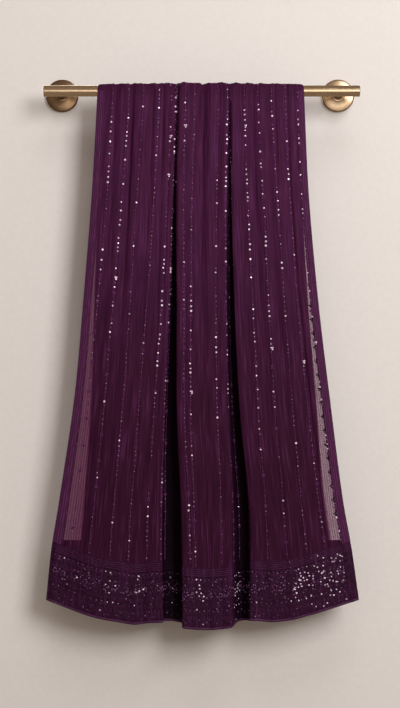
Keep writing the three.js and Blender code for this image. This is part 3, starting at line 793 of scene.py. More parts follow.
def cloth_finish(name, colours, sheer):
    """Fine georgette: streaks of thread down the cloth, a crinkled weave and, where single, see-through.
    Painted shade darkens it towards its foot, over the rod and in the deep folds, and a painted glow
    lightens its single layer.
    """
    f = Finish(name, roughness=0.65, specular_ior_level=0.05, **cloth_sheen(colours))
    uv = f.cloth_place()
    across, down, _ = f.parts(uv)
    wide = f.grain(uv, 60.0, 5.0)
    thread = f.grain(uv, 230.0, 11.0)
    fine = f.grain(uv, 420.0, 9.0)
    cloudy = f.grain(uv, 60.0, 4.0)
    dyed = f.blend(f.span(cloudy, 0.32, 0.68), colours.cloth, colours.cloth_violet)
    # Painted shade: the cloth darkens down towards its foot, as the light from above falls off.
    dyed = f.blend(f.span(down, 0.1, 0.9), dyed, colours.cloth_shade)
    # Painted shade over the top of the rod, where the cloth turns over it.
    dyed = f.blend(f.span(down, 0.03, -0.01, 0.0, 0.6), dyed, colours.cloth_shade)
    shade = f.maths("MULTIPLY_ADD", f.span(thread, 0.3, 0.72), 0.7, f.times(f.span(wide, 0.3, 0.75), 0.3))
    dyed = f.blend(f.span(shade, 0.5, 0.0, 0.0, 0.36), dyed, colours.fold_shade_and_dark_streaks)
    dyed = f.blend(f.span(shade, 0.5, 1.0, 0.0, 0.28), dyed, colours.cloth_light)
    if sheer:
        single = f.times(f.painted("sheer"), f.maths("LESS_THAN", down, SHEER_FOOT * MM))
        # Painted shade: the cloth darkens towards the floor of each deep fold.
        dyed = f.blend(f.times(f.painted("fold"), 0.9), dyed, colours.fold_shade_and_dark_streaks)
        lines = f.maths("MULTIPLY_ADD", across, 2 * math.pi / SHEER_RIB_PITCH, f.times(thread, 3.0))
        ribs = f.span(f.maths("SINE", lines), -0.2, 0.95)
        # A lone layer: light and dark threads of its weave, both painted lighter than the ground cloth, a
        # painted glow of the light passing through it.
        alone = f.blend(ribs, colours.single_open_glow, colours.single_dense_glow)
        dyed = f.blend(f.times(single, 0.95), dyed, alone)
        cover = f.minus(f.span(ribs, 0.0, 1.0, 0.48, 0.63), f.span(down, 0.75, 0.3, 0.0, 0.08))
        f.feed("Alpha", f.minus(1.0, f.times(single, f.minus(1.0, cover))))
    f.feed("Base Color", dyed)
    weave = f.grain(uv, 900.0, 900.0)
    f.bump(f.plus(f.times(weave, 0.5), fine), 0.35, 0.0006)
    return f.material


def border_finish(name, colours, pitch, gain, depth, ribbed=False):
    """Dense border cloth, with fine lines along it or ribs down it.

    gain is how far the lines show, and depth how dark its figured ground gets.
    """
    f = Finish(name, roughness=0.55, specular_ior_level=0.06, **cloth_sheen(colours))
    uv = f.cloth_place()
    across, down, _ = f.parts(uv)
    lines = f.maths("SINE", f.times(across if ribbed else down, 2 * math.pi / pitch))
    figure = f.grain(uv, 230.0, 170.0, detail=3.0)
    pleat = f.grain(uv, 200.0, 12.0)
    threads = f.grain(uv, 90.0, 40.0 if ribbed else 160.0)
    ground = f.blend(f.span(figure, 0.6, 0.4, 0.0, depth), colours.border, colours.border_dark)
    ground = f.blend(f.span(pleat, 0.5, 0.85, 0.0, 0.4), ground, colours.border_light)
    light = f.times(f.span(lines, 0.1, 0.95), f.span(threads, 0.4, 0.65))
    ground = f.blend(f.times(light, gain), ground, colours.border_light)
    # Painted shade: the border darkens inside the deep folds.
    ground = f.blend(f.times(f.painted("fold"), 0.9), ground, colours.fold_shade_and_dark_streaks)
    f.feed("Base Color", ground)
    f.bump(f.plus(f.times(lines, 0.4), figure), 0.4, 0.0007)
    return f.material


def edge_finish(name, colours):
    """The edge bands: dark doubled cloth with a few light cords along it."""
    f = Finish(name, roughness=0.6, sheen_weight=0.02, specular_ior_level=0.06)
    uv = f.cloth_place()
    cords = f.maths("COSINE", f.times(f.parts(uv)[0], 2 * math.pi / EDGE_CORD_PITCH))
    worn = f.grain(uv, 300.0, 40.0)
    light = f.times(f.span(cords, 0.0, 1.0), f.span(worn, 0.35, 0.65, 0.15, 1.0))
    share = f.maths("MULTIPLY_ADD", light, 0.6, 0.2)
    f.feed("Base Color", f.blend(share, colours.border, colours.cloth_light))
    f.bump(cords, 0.4, 0.0006)
    return f.material


def thread_finish(name, colours, rgb):
    """Lustrous embroidery thread."""
    f = Finish(name, roughness=0.6, specular_ior_level=0.08)
    twist = f.grain(f.object_place(), 900.0, 900.0, 260.0)
    f.feed("Base Color", f.blend(f.span(twist, 0.2, 0.55), colours.border_dark, rgb))
    f.bump(twist, 0.4, 0.0004)
    return f.material


def sequin_finish(name, colours):
    """Sequins: deep purple foil, with a pale flash painted into the colour by the glint attribute of each
    sequin, a painted highlight.
    """
    f = Finish(name, metallic=0.2, specular_ior_level=0.25)
    foil = f.grain(f.object_place(), 700.0, 700.0, 700.0, detail=1.0)
    dark = f.blend(f.span(foil, 0.35, 0.65), colours.sequin, colours.sequin_light)
    # The painted highlight: the pale flash colour, mixed in by each sequin's glint share.
    f.feed("Base Color", f.blend(f.painted("painted_glint"), dark, colours.painted_flash))
    f.feed("Roughness", f.span(foil, 0.2, 0.8, 0.16, 0.34))
    return f.material


def satin_finish(name, colours):
    """Satin bias piping, with its fine slanting ribs."""
    f = Finish(name, roughness=0.45, sheen_weight=0.03, specular_ior_level=0.14)
    slant = f.grain(f.cloth_place(), 260.0, 900.0)
    f.feed("Base Color", f.blend(f.span(slant, 0.3, 0.7), colours.piping, colours.piping_light))
    f.bump(slant, 0.25, 0.0004)
    return f.material


def brass_finish(name, colours, scale, rough=0.17, dulled_and_shaded=0.0):
    """Satin champagne brass, brushed along the piece by scale, and darkened by a share of darker metal, dull
    brass that also serves as a painted darker reflection.
    """
    f = Finish(name, metallic=1.0)
    place = f.object_place()
    brush = f.grain(place, *scale, detail=3.0)
    cloudy = f.grain(place, 14.0, 14.0, 14.0)
    metal = f.blend(f.span(brush, 0.3, 0.7), colours.brass, colours.brass_light)
    share = f.span(cloudy, 0.2, 0.8, 0.7 * dulled_and_shaded, dulled_and_shaded)
    f.feed("Base Color", f.blend(share, metal, colours.brass_dull_and_shade))
    brushed = f.span(brush, 0.2, 0.8, rough, rough + 0.07)
    f.feed("Roughness", f.maths("MULTIPLY_ADD", cloudy, 0.06, brushed))
    f.bump(brush, 0.12, 0.0002)
    return f.material


# ------------------------------------------------------------------ settings
def size_property(name, description, default, low, high):
    return bpy.props.FloatProperty(
        name=name,
        description=description,
        default=default,
        min=low,
        max=high,
        subtype="DISTANCE",
        unit="LENGTH",
    )


def colour_property(name, description, red, green, blue):
    default = colour(red, green, blue)
    return bpy.props.FloatVectorProperty(
        name=name, description=description, default=default, size=3, min=0.0, max=1.0, subtype="COLOR"
    )


class SareeSizes(bpy.types.PropertyGroup):
    """Sizes that a user may change."""

    cloth_thickness: size_property("Cloth", "Thickness of one layer of cloth", 0.0006, 0.0002, 0.001)
    border_thickness: size_property("Border", "Thickness of the border", 0.0011, 0.0003, 0.0015)
    sequin: size_property("Sequin", "Diameter of a sequin", 0.0036, 0.002, 0.006)
    sequin_pitch: size_property("Sequin pitch", "Distance between sequins", 0.0098, 0.006, 0.02)
    flower_pitch: size_property("Flower pitch", "Distance between flowers on a line", 0.062, 0.03, 0.12)
    thread: size_property("Thread line", "Width of the line under the sequins", 0.0011, 0.0005, 0.003)


class SareeColours(bpy.types.PropertyGroup):
    """Colours that a user may change."""

    cloth: colour_property("Cloth", "Ground cloth", 66, 23, 54)
    cloth_violet: colour_property("Cloth, violet", "Ground cloth where its dye leans to violet", 64, 24, 59)
    # Painted shade: the cloth towards its foot and over the top of the rod.
    cloth_shade: colour_property("Cloth, dark", "Ground cloth towards its foot", 50, 13, 39)
    cloth_light: colour_property("Cloth, light", "Lighter threads of the ground", 106, 52, 98)
    # The lone layer's dense and open threads, both painted lighter than the ground cloth: a painted glow of
    # light through it.
    single_dense_glow: colour_property("Single layer, dark", "Dense threads of a lone layer", 90, 38, 70)
    single_open_glow: colour_property("Single layer, light", "Open threads of a lone layer", 118, 58, 98)
    cloth_sheen: colour_property("Sheen", "Sheen of the cloth", 214, 150, 222)
    # Painted shade of the deep folds, also the darker streaks of the ground's threads.
    fold_shade_and_dark_streaks: colour_property("Folds", "Cloth deep in the folds", 12, 2, 12)
    border: colour_property("Border", "Ground of the border", 50, 15, 43)
    border_dark: colour_property("Border, dark", "Dark ground of the border", 30, 8, 28)
    border_light: colour_property("Border, light", "Woven lines of the border", 96, 44, 92)
    thread: colour_property("Thread", "Embroidery thread", 98, 46, 92)
    scroll: colour_property("Scrolls", "Embroidery thread of the border's scrolls", 68, 30, 64)
    piping: colour_property("Piping", "Satin piping", 48, 15, 42)
    piping_light: colour_property("Piping, light", "Satin piping, lighter ribs", 74, 30, 70)
    sequin: colour_property("Sequin", "Sequins that don't flash", 68, 22, 62)
    sequin_light: colour_property("Sequin, light", "Sequins, lighter side", 106, 54, 104)
    # Painted highlight of the sequins picked to glint.
    painted_flash: colour_property("Flash", "Sequins that face the light", 255, 230, 252)
    brass: colour_property("Brass", "Brass rod and roses", 196, 166, 132)
    brass_light: colour_property("Brass, light", "Brush marks in the brass", 222, 196, 164)
    # Dull brass, also a painted darker reflection: it darkens the left rose more than the right.
    brass_dull_and_shade: colour_property("Brass, dark", "Dulled brass of the roses", 112, 84, 58)


def settings():
    return bpy.context.scene.saree_sizes, bpy.context.scene.saree_colours


# ------------------------------------------------------------------ operators
def front_columns():
    marks = (0.0, 0.11, *LEFT_FOLD, *RIGHT_FOLD, 0.89, 1.0)
    counts = (37, 46, 44, 38, 40, 46, 37)
    steps = [np.linspace(a, b, n, endpoint=False) for a, b, n in zip(marks, marks[1:], counts)]
    return np.concatenate([*steps, [1.0]])


def front_rows():
    over = np.linspace(-1.0, 0.0, 12, endpoint=False)
    falls = np.linspace(0.0, 1.0, 138) ** 1.12 * (TAPE_TOP + LAP)
    return np.concatenate([over, falls])


def fold_shade_share(u, s):
    """How far inside a deep fold the cloth lies: 0 on the panels and 1 at the fold's floor; painted into the
    cloth's colour as shade.
    """
    depth = smooth(np.maximum(s, 0.0) / 0.3)
    inside = 0.0
    for start, end in (LEFT_FOLD, RIGHT_FOLD):
        side = np.abs(mix(-1.0, 1.0, (u - start) / (end - start)))
        inside = inside + smooth((0.98 - side) / 0.5)
    return inside * (0.45 + 0.55 * depth)


def single_layer(u, s):
    """1 where the front cloth hangs alone, between the edge bands and the edges of the hidden layers."""
    fall = np.maximum(s, 0.0)
    left, right = (curve(FRONT, name, fall) for name in ("left", "right"))
    fold_a, fold_b = fold_at(LEFT_FOLD_ROWS, fall), fold_at(RIGHT_FOLD_ROWS, fall)
    stretch_a = (right - left) * LEFT_FOLD[0] / (fold_a[0] - fold_a[1] - left)
    stretch_b = (right - left) * (1 - RIGHT_FOLD[1]) / (right - fold_b[0] - fold_b[1])
    edge_a = curve(HIDDEN, "inset_left", fall) * stretch_a + SHEER_OVERLAP
    edge_b = 1 - curve(HIDDEN, "inset_right", fall) * stretch_b - SHEER_OVERLAP
    outside = np.maximum(smooth((edge_a - u) / SHEER_BLEND), smooth((u - edge_b) / SHEER_BLEND))
    inner = np.minimum(u, 1 - u) - EDGE_BAND_SHARE - SHEER_INSET
    return outside * smooth(inner / SHEER_BLEND) * smooth((fall * MEAN_DROP - SHEER_TOP) / SHEER_FADE)


# The depth into the deep folds, painted on the cloth and the border as an attribute that darkens their
# colour: painted shade.
FOLD_SHADE_PAINT = {"fold": fold_shade_share}


def line_course(k):
    """The shares of sequins given a painted flash and the drifts of a line, at LINE_HEIGHTS."""
    names = ("rod", "upper", "middle", "foot")
    return tuple([SEQUIN_LINES[kind + name][k] for name in names] for kind in ("", "drift_"))


def front_down(u, s):
    """Distance along the cloth from the top of the rod, in millimetres."""
    return np.where(s < 0, s * OVER_ROD, s * drop(u))


class SAREE_OT_front_cloth(bpy.types.Operator):
    """The front stretch, with the cloth over the rod"""

    bl_idname = "saree.front_cloth"
    bl_label = "Front cloth"

    def execute(self, context):
        sizes, colours = settings()
        painted = {"sheer": single_layer, **FOLD_SHADE_PAINT}
        us, ss = front_columns(), front_rows()
        mesh = sheet_mesh(front_point, us, ss, CLOTH_LIFT, front_down, painted=painted)
        material = cloth_finish("georgette_front", colours, sheer=True)
        piece = finish_piece("front_cloth", mesh, material, "cloth", "fall_front", "over_rod")
        thicken(piece, sizes.cloth_thickness / MM)
        return {"FINISHED"}


class SAREE_OT_back_cloth(bpy.types.Operator):
    """The back stretch, folded under at its foot"""

    bl_idname = "saree.back_cloth"
    bl_label = "Back cloth"

    def execute(self, context):
        sizes, colours = settings()
        ss = np.concatenate([np.linspace(0.0004, 0.995, 130), np.linspace(1.0, 1.5, 8), [1.75, 2.0]])
        us = np.linspace(0, 1, 180)
        mesh = sheet_mesh(back_point, us, ss, CLOTH_LIFT, lambda u, s: s * BACK_DROP, side=1)
        material = cloth_finish("georgette_back", colours, sheer=False)
        piece = finish_piece("back_cloth", mesh, material, "cloth", "fall_back")
        thicken(piece, sizes.cloth_thickness / MM)
        return {"FINISHED"}


class SAREE_OT_inner_layers(bpy.types.Operator):
    """The hidden layers between front and back, as one rounded form layered at its edges"""

    bl_idname = "saree.inner_layers"
    bl_label = "Inner layers"

    def execute(self, context):
        _, colours = settings()
        rim = [0.0, 0.004, LAYER_RIM - 0.001, LAYER_RIM + 0.001]
        ps = np.concatenate([rim, np.linspace(0.03, 0.97, 70), [1 - p for p in reversed(rim)]])
        stretches = ((-1.97, -1.02, 40), (-1.0, 0.0, 13), (0.02, 1.0, 60))
        ss = np.concatenate([np.linspace(*stretch) for stretch in stretches])

        def layered(p, s):
            step = np.where(np.minimum(p, 1 - p) < LAYER_RIM, -LAYER_STEP, 0.0)
            return step * np.clip((s + 1) * 5, 0, 1)

        mesh = sheet_mesh(hidden_point, ps, ss, 0.0, lambda u, s: (s + 2) / MM, relief=layered)
        material = cloth_finish("georgette_inner", colours, sheer=False)
        piece = finish_piece("inner_layers", mesh, material, "cloth", "folded_layers")
        thicken(piece, INNER_THICKNESS)
        return {"FINISHED"}


class SAREE_OT_edge_bands(bpy.types.Operator):
    """The narrow doubled bands along both edges of the front"""

    bl_idname = "saree.edge_bands"
    bl_label = "Edge bands"

    def execute(self, context):
        _, colours = settings()
        material = edge_finish("edge_weave", colours)
        rows = np.linspace(0.001, TAPE_TOP - HALF_SEAM, 170)
        for name, start in (("left", 0.0), ("right", 1 - EDGE_BAND_SHARE)):
            us = np.linspace(start, start + EDGE_BAND_SHARE, 11)

            def cords(u, s, start=start):
                across = (u - start) / EDGE_BAND_SHARE
                return CORD_HEIGHT * np.cos(2 * math.pi * across * 3.0) ** 2 + 0.12 * np.sin(s * 900.0)

            mesh = sheet_mesh(front_point, us, rows, EDGE_BAND_LIFT, front_down, relief=cords)
            piece = finish_piece(f"edge_band_{name}_cloth", mesh, material, "border", f"edge_band_{name}")
            thicken(piece, EDGE_BAND_THICKNESS)
        return {"FINISHED"}


class SAREE_OT_border(bpy.types.Operator):
    """The border: its woven tape, its wide band and its ribbed foot"""

    bl_idname = "saree.border"
    bl_label = "Border"

    def execute(self, context):
        sizes, colours = settings()

        def tape_lines(u, s):
            share = (s - TAPE_TOP) / (BAND_TOP - TAPE_TOP)
            return CORD_HEIGHT * np.cos(2 * math.pi * (share - 0.04) * 4.5)

        def arches(u, s):
            share = (s - FOOT_BAND_TOP) / (HEM_S - FOOT_BAND_TOP)
            wave = np.abs(np.sin(math.pi * u * FLAT_WIDTH / RIB_PITCH))
            arch = smooth((share - 0.35 + 0.25 * wave) / 0.15) * smooth((1 - share) / 0.08)
            return RIB_HEIGHT * wave * arch

        def border_down(u, s):
            return s * MEAN_DROP

        tape = border_finish("border_tape_weave", colours, TAPE_LINE_PITCH, gain=0.26, depth=0.3)
        band = border_finish("border_band_weave", colours, BAND_LINE_PITCH, gain=0.12, depth=0.9)
        ribs = border_finish("border_ribs_weave", colours, RIB_PITCH * MM, gain=0.3, depth=0.8, ribbed=True)
        across, rib_columns = front_columns(), np.linspace(0, 1, 701)
        pieces = (
            ("border_tape_cloth", "border_top_tape", TAPE_TOP, BAND_TOP, across, 22, tape_lines, tape),
            ("border_band_cloth", "border_band", BAND_TOP, FOOT_BAND_TOP, across, 34, None, band),
            ("border_ribs_cloth", "border_foot_band", FOOT_BAND_TOP, HEM_S, rib_columns, 12, arches, ribs),
        )
        for name, node, top, foot, us, cells, relief, material in pieces:
            lap = LAP if node == "border_band" else 0.0
            reach = LAP if node == "border_foot_band" else 0.0
            rows = np.linspace(top - lap, foot + lap + reach, cells + 1)
            lift = BORDER_LIFT - (LAP_DEPTH if lap else 0.0)
            mesh = sheet_mesh(front_point, us, rows, lift, border_down, relief=relief, painted=FOLD_SHADE_PAINT)
            piece = finish_piece(name, mesh, material, "border", node)
            thicken(piece, sizes.border_thickness / MM)
        return {"FINISHED"}


class SAREE_OT_piping(bpy.types.Operator):
    """The satin piping along the hem"""

    bl_idname = "saree.piping"
    bl_label = "Hem piping"

    def execute(self, context):
        _, colours = settings()
        us = front_columns()
        s = np.full_like(us, HEM_S)
        normal = outward(front_point, us, s, -1)
        down = front_point(us, s + 1e-3) - front_point(us, s)
        down /= np.linalg.norm(down, axis=-1, keepdims=True)
        centre = front_point(us, s) + normal * PIPING_LIFT + down * (PIPING_HEIGHT / 2 + FITTING_GAP)
        rings = []
        for angle in np.linspace(0.0, 2 * math.pi, PIPING_SIDES + 1):
            outwards = normal * PIPING_THICKNESS / 2 * math.cos(angle)
            rings.append((centre + (outwards + down * PIPING_HEIGHT / 2 * math.sin(angle))) * MM)
        points = np.stack(rings)
        along, around = np.meshgrid(us, np.linspace(0.0, PIPING_ROUND, PIPING_SIDES + 1))
        mesh = woven_grid(points, flat_place(along, around), outside_in=False)
        bm = bmesh.new()
        bm.from_mesh(mesh)
        bmesh.ops.remove_doubles(bm, verts=bm.verts, dist=1e-6)
        bmesh.ops.holes_fill(bm, edges=[edge for edge in bm.edges if edge.is_boundary], sides=0)
        bmesh.ops.recalc_face_normals(bm, faces=bm.faces)
        bm.to_mesh(mesh)
        bm.free()
        satin = satin_finish("piping_satin", colours)
        finish_piece("hem_piping_satin", mesh, satin, "piping", "hem_piping")
        return {"FINISHED"}


class SAREE_OT_thread_lines(bpy.types.Operator):
    """The worked lines of thread that the sequins are sewn on"""

    bl_idname = "saree.thread_lines"
    bl_label = "Thread lines"

    def execute(self, context):
        sizes, colours = settings()
        half = sizes.thread / MM / FLAT_WIDTH / 2
        lines = []
        for k, place in enumerate(SEQUIN_LINES["u"]):
            rows = np.linspace(-0.98, TAPE_TOP - 2 * HALF_SEAM, 260)
            u, s = np.meshgrid([-half, half], rows)
            wander = 0.0009 * np.sin(s * 34.0 + k) + 0.0006 * np.sin(s * 190.0 + 2 * k)
            u = place + np.interp(s, LINE_HEIGHTS, line_course(k)[1]) + wander + u
            points = laid(front_point, u, s, CLOTH_LIFT + THREAD_LIFT)
            lines.append(woven_grid(points, flat_place(u, front_down(u, s)), outside_in=True))
        material = thread_finish("line_thread", colours, colours.thread)
        piece = finish_piece("thread_lines", joined(lines, "thread_lines"), material, "cloth")
        thicken(piece, THREAD_THICKNESS)
        return {"FINISHED"}


def sequin_line(k, start, end, length, sizes, rng):
    """Shares across and down, painted flashes and diameters of the sequins along one line of a stretch."""
    shares, drifts = line_course(k)
    u, s, painted_glints, diameters = [], [], [], []
    at = start + rng.uniform(0.0, 0.008)
    while at < end:
        fall = max(at, 0.0)
        if rng.random() > SEQUINS_MISSING:
            flashing = np.interp(fall, LINE_HEIGHTS, shares) * (1.0 if at > 0.012 else 0.1)
            # painted flashes come in runs along a line, and now and then as a cluster of three
            run = math.sin(at * 41.0 + 3.1 * k) + math.sin(at * 17.0 + 1.7 * k)
            bright = rng.random() < flashing * (1.75 if run > 0.0 else 0.5)
            here = SEQUIN_LINES["u"][k] + np.interp(fall, LINE_HEIGHTS, drifts)
            for beside in range(rng.choice((1,) * 20 + (3,)) if bright else 1):
                s.append(at + (0.0, 0.0002, 0.0035)[beside])
                u.append(here + rng.gauss(0.0, 0.0007) + (0.0, 0.0046, 0.0023)[beside])
                # A sequin picked to flash gets a high glint share, a pale highlight painted into its colour,
                # and is drawn a little larger.
                painted_glints.append(rng.uniform(0.3, 1.0) ** 0.7 if bright else 0.24 * rng.random() ** 4)
                grow = rng.uniform(1.0, 1.4) if bright else rng.uniform(0.7, 1.0)
                diameters.append(sizes.sequin / MM * grow)
        step = sizes.sequin_pitch / MM * rng.uniform(0.8, 1.25)
        if at >= 0:
            at += step / length
        elif at + step / OVER_ROD < 0:
            at += step / OVER_ROD
        else:
            at = rng.uniform(0.0, 0.008)
    return u, s, painted_glints, diameters


class SAREE_OT_sequins(bpy.types.Operator):
    """The sequins on the lines of the front and back stretches"""

    bl_idname = "saree.sequins"
    bl_label = "Sequins"

    def execute(self, context):
        sizes, colours = settings()
        material = sequin_finish("sequin_foil", colours)
        stretches = (
            ("sequins_front", front_point, -1, -0.9, TAPE_TOP - 0.004, MEAN_DROP, 41),
            ("sequins_back", back_point, 1, 0.03, 0.985, BACK_DROP, 43),
        )
        for name, surface, side, start, end, length, seed in stretches:
            rng = random.Random(seed)
            lines = []
            for k in range(len(SEQUIN_LINES["u"])):
                u, s, painted_glints, diameters = sequin_line(k, start, end, length, sizes, rng)
                lift = CLOTH_LIFT + SEQUIN_LIFT
                lines.append(scatter_discs(surface, u, s, lift, diameters, painted_glints, rng, side=side))
            finish_piece(name, joined(lines, name), material, "cloth")
        return {"FINISHED"}


def petal_mesh(u, s, headings, length, width):
    """Flowers of four worked petals round a small bead, laid on the front cloth."""
    places = laid(front_point, u, s, CLOTH_LIFT + PETAL_LIFT)
    bm = bmesh.new()
    for place, normal, heading in zip(places, outward(front_point, u, s, -1), headings):
        stand = upright(place, normal, 0.0, heading)
        for quarter in range(4):
            turned = Matrix.Rotation(quarter * math.pi / 2, 4, "Z")
            out = Matrix.Translation((length * MM * 0.62, 0.0, 0.0))
            shape = Matrix.Diagonal((length * MM / 2, width * MM / 2, PETAL_THICKNESS * MM, 1.0))
            bmesh.ops.create_icosphere(bm, subdivisions=1, radius=1.0, matrix=stand @ turned @ out @ shape)
        bmesh.ops.create_icosphere(bm, subdivisions=1, radius=BEAD_RADIUS * MM, matrix=stand)
    return to_mesh(bm, "flowers", rounded=True)


class SAREE_OT_flowers(bpy.types.Operator):
    """The small four-petalled flowers, and the knots by the edge bands"""

    bl_idname = "saree.flowers"
    bl_label = "Flowers and knots"

    def execute(self, context):
        sizes, colours = settings()
        rng = random.Random(47)
        pitch = sizes.flower_pitch / MM / MEAN_DROP
        meshes = []
        for k, place in enumerate(SEQUIN_LINES["u"]):
            if SEQUIN_LINES["flowers"][k] < 0.5:
                continue
            s = np.arange(0.02 + rng.uniform(0.0, pitch), TAPE_TOP - 0.01, pitch)
            s = np.array([at + rng.gauss(0.0, 0.003) for at in s if rng.random() > FLOWERS_MISSING])
            u = place + np.interp(s, LINE_HEIGHTS, line_course(k)[1])
            headings = [rng.uniform(0.0, math.pi / 2) for _ in s]
            meshes.append(petal_mesh(u, s, headings, length=4.6, width=3.4))
        petals = thread_finish("petal_thread", colours, colours.thread)
        finish_piece("flowers_front", joined(meshes, "flowers_front"), petals, "cloth")
        dark = thread_finish("knot_thread", colours, colours.border_dark)
        bands = (
            ("edge_knots_left", EDGE_BAND_SHARE + 0.001, 3.6, 2.6, petals),
            ("edge_knots_right", 1 - EDGE_BAND_SHARE - 0.004, 4.8, 3.8, dark),
        )
        for name, place, petal_length, petal_width, thread in bands:
            s = np.arange(KNOT_TOP, SHEER_FOOT / MEAN_DROP, KNOT_PITCH)
            knots = petal_mesh(np.full_like(s, place), s, np.zeros_like(s), petal_length, petal_width)
            finish_piece(name, knots, thread, "border")
        return {"FINISHED"}


def painted_flash_share(place):
    """The share of the border's sequins given a painted flash: most at its right, and in patches beside the
    deep folds.
    """
    away = (place - PAINTED_FLASH_PATCHES["u"]) / PAINTED_FLASH_PATCHES["reach"]
    return PAINTED_FLASH_ELSEWHERE + np.sum(PAINTED_FLASH_PATCHES["share"] * np.exp(-(away**4)))


def ribbon(us, ss, width):
    """A ribbon of thread along a line on the border."""
    du, ds = np.gradient(us) * FLAT_WIDTH, np.gradient(ss) * MEAN_DROP
    size = np.maximum(np.hypot(du, ds), 1e-9)
    across = np.stack([-ds / size / FLAT_WIDTH, du / size / MEAN_DROP]) * width / 2
    u = np.stack([us - across[0], us + across[0]], axis=-1).clip(0.001, 0.999)
    s = np.stack([ss - across[1], ss + across[1]], axis=-1)
    points = laid(front_point, u, s, BORDER_LIFT + SCROLL_LIFT)
    return woven_grid(points, flat_place(u, s * MEAN_DROP), outside_in=False)


class SAREE_OT_border_work(bpy.types.Operator):
    """The scrolls, dots and sequins worked on the border"""

    bl_idname = "saree.border_work"
    bl_label = "Border embroidery"

    def execute(self, context):
        _, colours = settings()
        rng = random.Random(53)
        u, s, sizes, painted_glints, strips = [], [], [], [], []

        def add(place, fall, size):
            # A border sequin picked to flash gets a high glint share, a pale highlight painted into its
            # colour, and is drawn a little larger.
            bright = rng.random() < painted_flash_share(place)
            u.append(min(0.968, max(0.012, place)))
            s.append(fall)
            sizes.append(size * (1.2 if bright else 1.0))
            painted_glints.append(rng.uniform(0.45, 1.0) if bright else 0.14 * rng.random() ** 2)

        def below(mark, distance):
            return mark + distance / MEAN_DROP

        # scrolls of thread on both sides of a wavy stem
        middle = (BAND_TOP + FOOT_BAND_TOP) / 2 - 3.0 / MEAN_DROP
        half_wave = 23.0
        for k in range(int(FLAT_WIDTH / half_wave)):
            centre = (k + 0.5) * half_wave + rng.uniform(-4.5, 4.5)
            up = 1 if k % 2 else -1
            turns = np.linspace(0.0, rng.uniform(2.1, 2.9) * math.pi, 34)
            radius = mix(rng.uniform(9.5, 15.0), 2.5, turns / turns[-1])
            along = (centre + radius * np.cos(turns) * rng.uniform(0.6, 1.0)) / FLAT_WIDTH
            fall = below(middle, up * (6.0 + radius * np.sin(turns) - 4.0))
            strips.append(ribbon(along.clip(0.004, 0.996), fall, 0.9))
            for j in range(1, 34, 4):
                add(along[j] + rng.gauss(0, 0.0008), fall[j] + rng.gauss(0, 0.0005), rng.uniform(2.8, 3.6))
        stem = np.linspace(0.004, 0.996, 480)
        wave = 17.0 / MEAN_DROP * np.sin(math.pi * stem * FLAT_WIDTH / half_wave)
        strips.append(ribbon(stem, middle + wave, 1.3))
        # rows of sequins along both edges, loose ones between, more at the right, and some on the ribs
        edges = ((below(BAND_TOP, 6.0), 10.5), (below(FOOT_BAND_TOP, -11.0), 12.0))
        for fall, pitch in edges:
            for along in np.arange(pitch, FLAT_WIDTH - pitch, pitch):
                add(along / FLAT_WIDTH, below(fall, rng.gauss(0.0, 0.8)), rng.uniform(2.6, 3.2))
        for _ in range(230):
            place = rng.uniform(0.01, 0.99)
            fall = rng.uniform(below(BAND_TOP, 8.0), below(FOOT_BAND_TOP, -13.0))
            add(place, fall, rng.uniform(2.4, 4.0))
        for _ in range(70):
            place = rng.uniform(0.795, 0.968)
            add(place, rng.uniform(below(BAND_TOP, -14.0), below(FOOT_BAND_TOP, 6.0)), 3.2)
        for along in np.arange(RIB_PITCH, FLAT_WIDTH - RIB_PITCH, RIB_PITCH):
            if rng.random() < 0.7:
                add(along / FLAT_WIDTH, below(FOOT_BAND_TOP, rng.uniform(3.0, 20.0)), rng.uniform(2.4, 3.4))
        lift = BORDER_LIFT + BORDER_SEQUIN_LIFT
        discs = scatter_discs(front_point, u, s, lift, sizes, painted_glints, rng, sides=6)
        finish_piece("sequins_border", discs, sequin_finish("border_foil", colours), "border")
        material = thread_finish("scroll_thread", colours, colours.scroll)
        scrolls = finish_piece("border_scrolls", joined(strips, "border_scrolls"), material, "border")
        thicken(scrolls, SCROLL_THICKNESS)
        return {"FINISHED"}


def rod_profile():
    half = ROD_LENGTH / 2
    end = ((0.0, 0.0), (8.0, 0.0), (ROD_RADIUS - 1.2, 0.0), (ROD_RADIUS - 0.4, 0.3), (ROD_RADIUS, 1.0))
    near = [(radius, -half + inward) for radius, inward in end]
    return [*near, (ROD_RADIUS, 0.0), *[(radius, -height) for radius, height in reversed(near)]]


def post_profile():
    foot, top = ROSE_HEIGHT + FITTING_GAP, ROD_TO_WALL - ROD_RADIUS + POST_TUCK
    return [(0.0, foot), (POST_RADIUS, foot), (POST_RADIUS, top), (0.0, top)]


def rose_profile():
    """A flat back, a rounded rim, a low cone and a round boss."""
    back = [(0.0, 0.0), (ROSE_RADIUS - 0.5, 0.0), (ROSE_RADIUS, 0.5), (ROSE_RADIUS, ROSE_RIM - 2.6)]
    turned = ((0.3, -1.6), (1.0, -0.7), (2.0, -0.1), (3.2, 0.3))
    rim = [(ROSE_RADIUS - inward, ROSE_RIM + up) for inward, up in turned]
    foot = [(24.0, 6.3), (ROSE_BOSS_RADIUS + 1.0, 7.6), (ROSE_BOSS_RADIUS, 8.0)]
    boss = [(ROSE_BOSS_RADIUS - 0.6, ROSE_HEIGHT - 0.2), (ROSE_BOSS_RADIUS - 1.2, ROSE_HEIGHT)]
    return [*back, *rim, *foot, *boss, (0.0, ROSE_HEIGHT)]


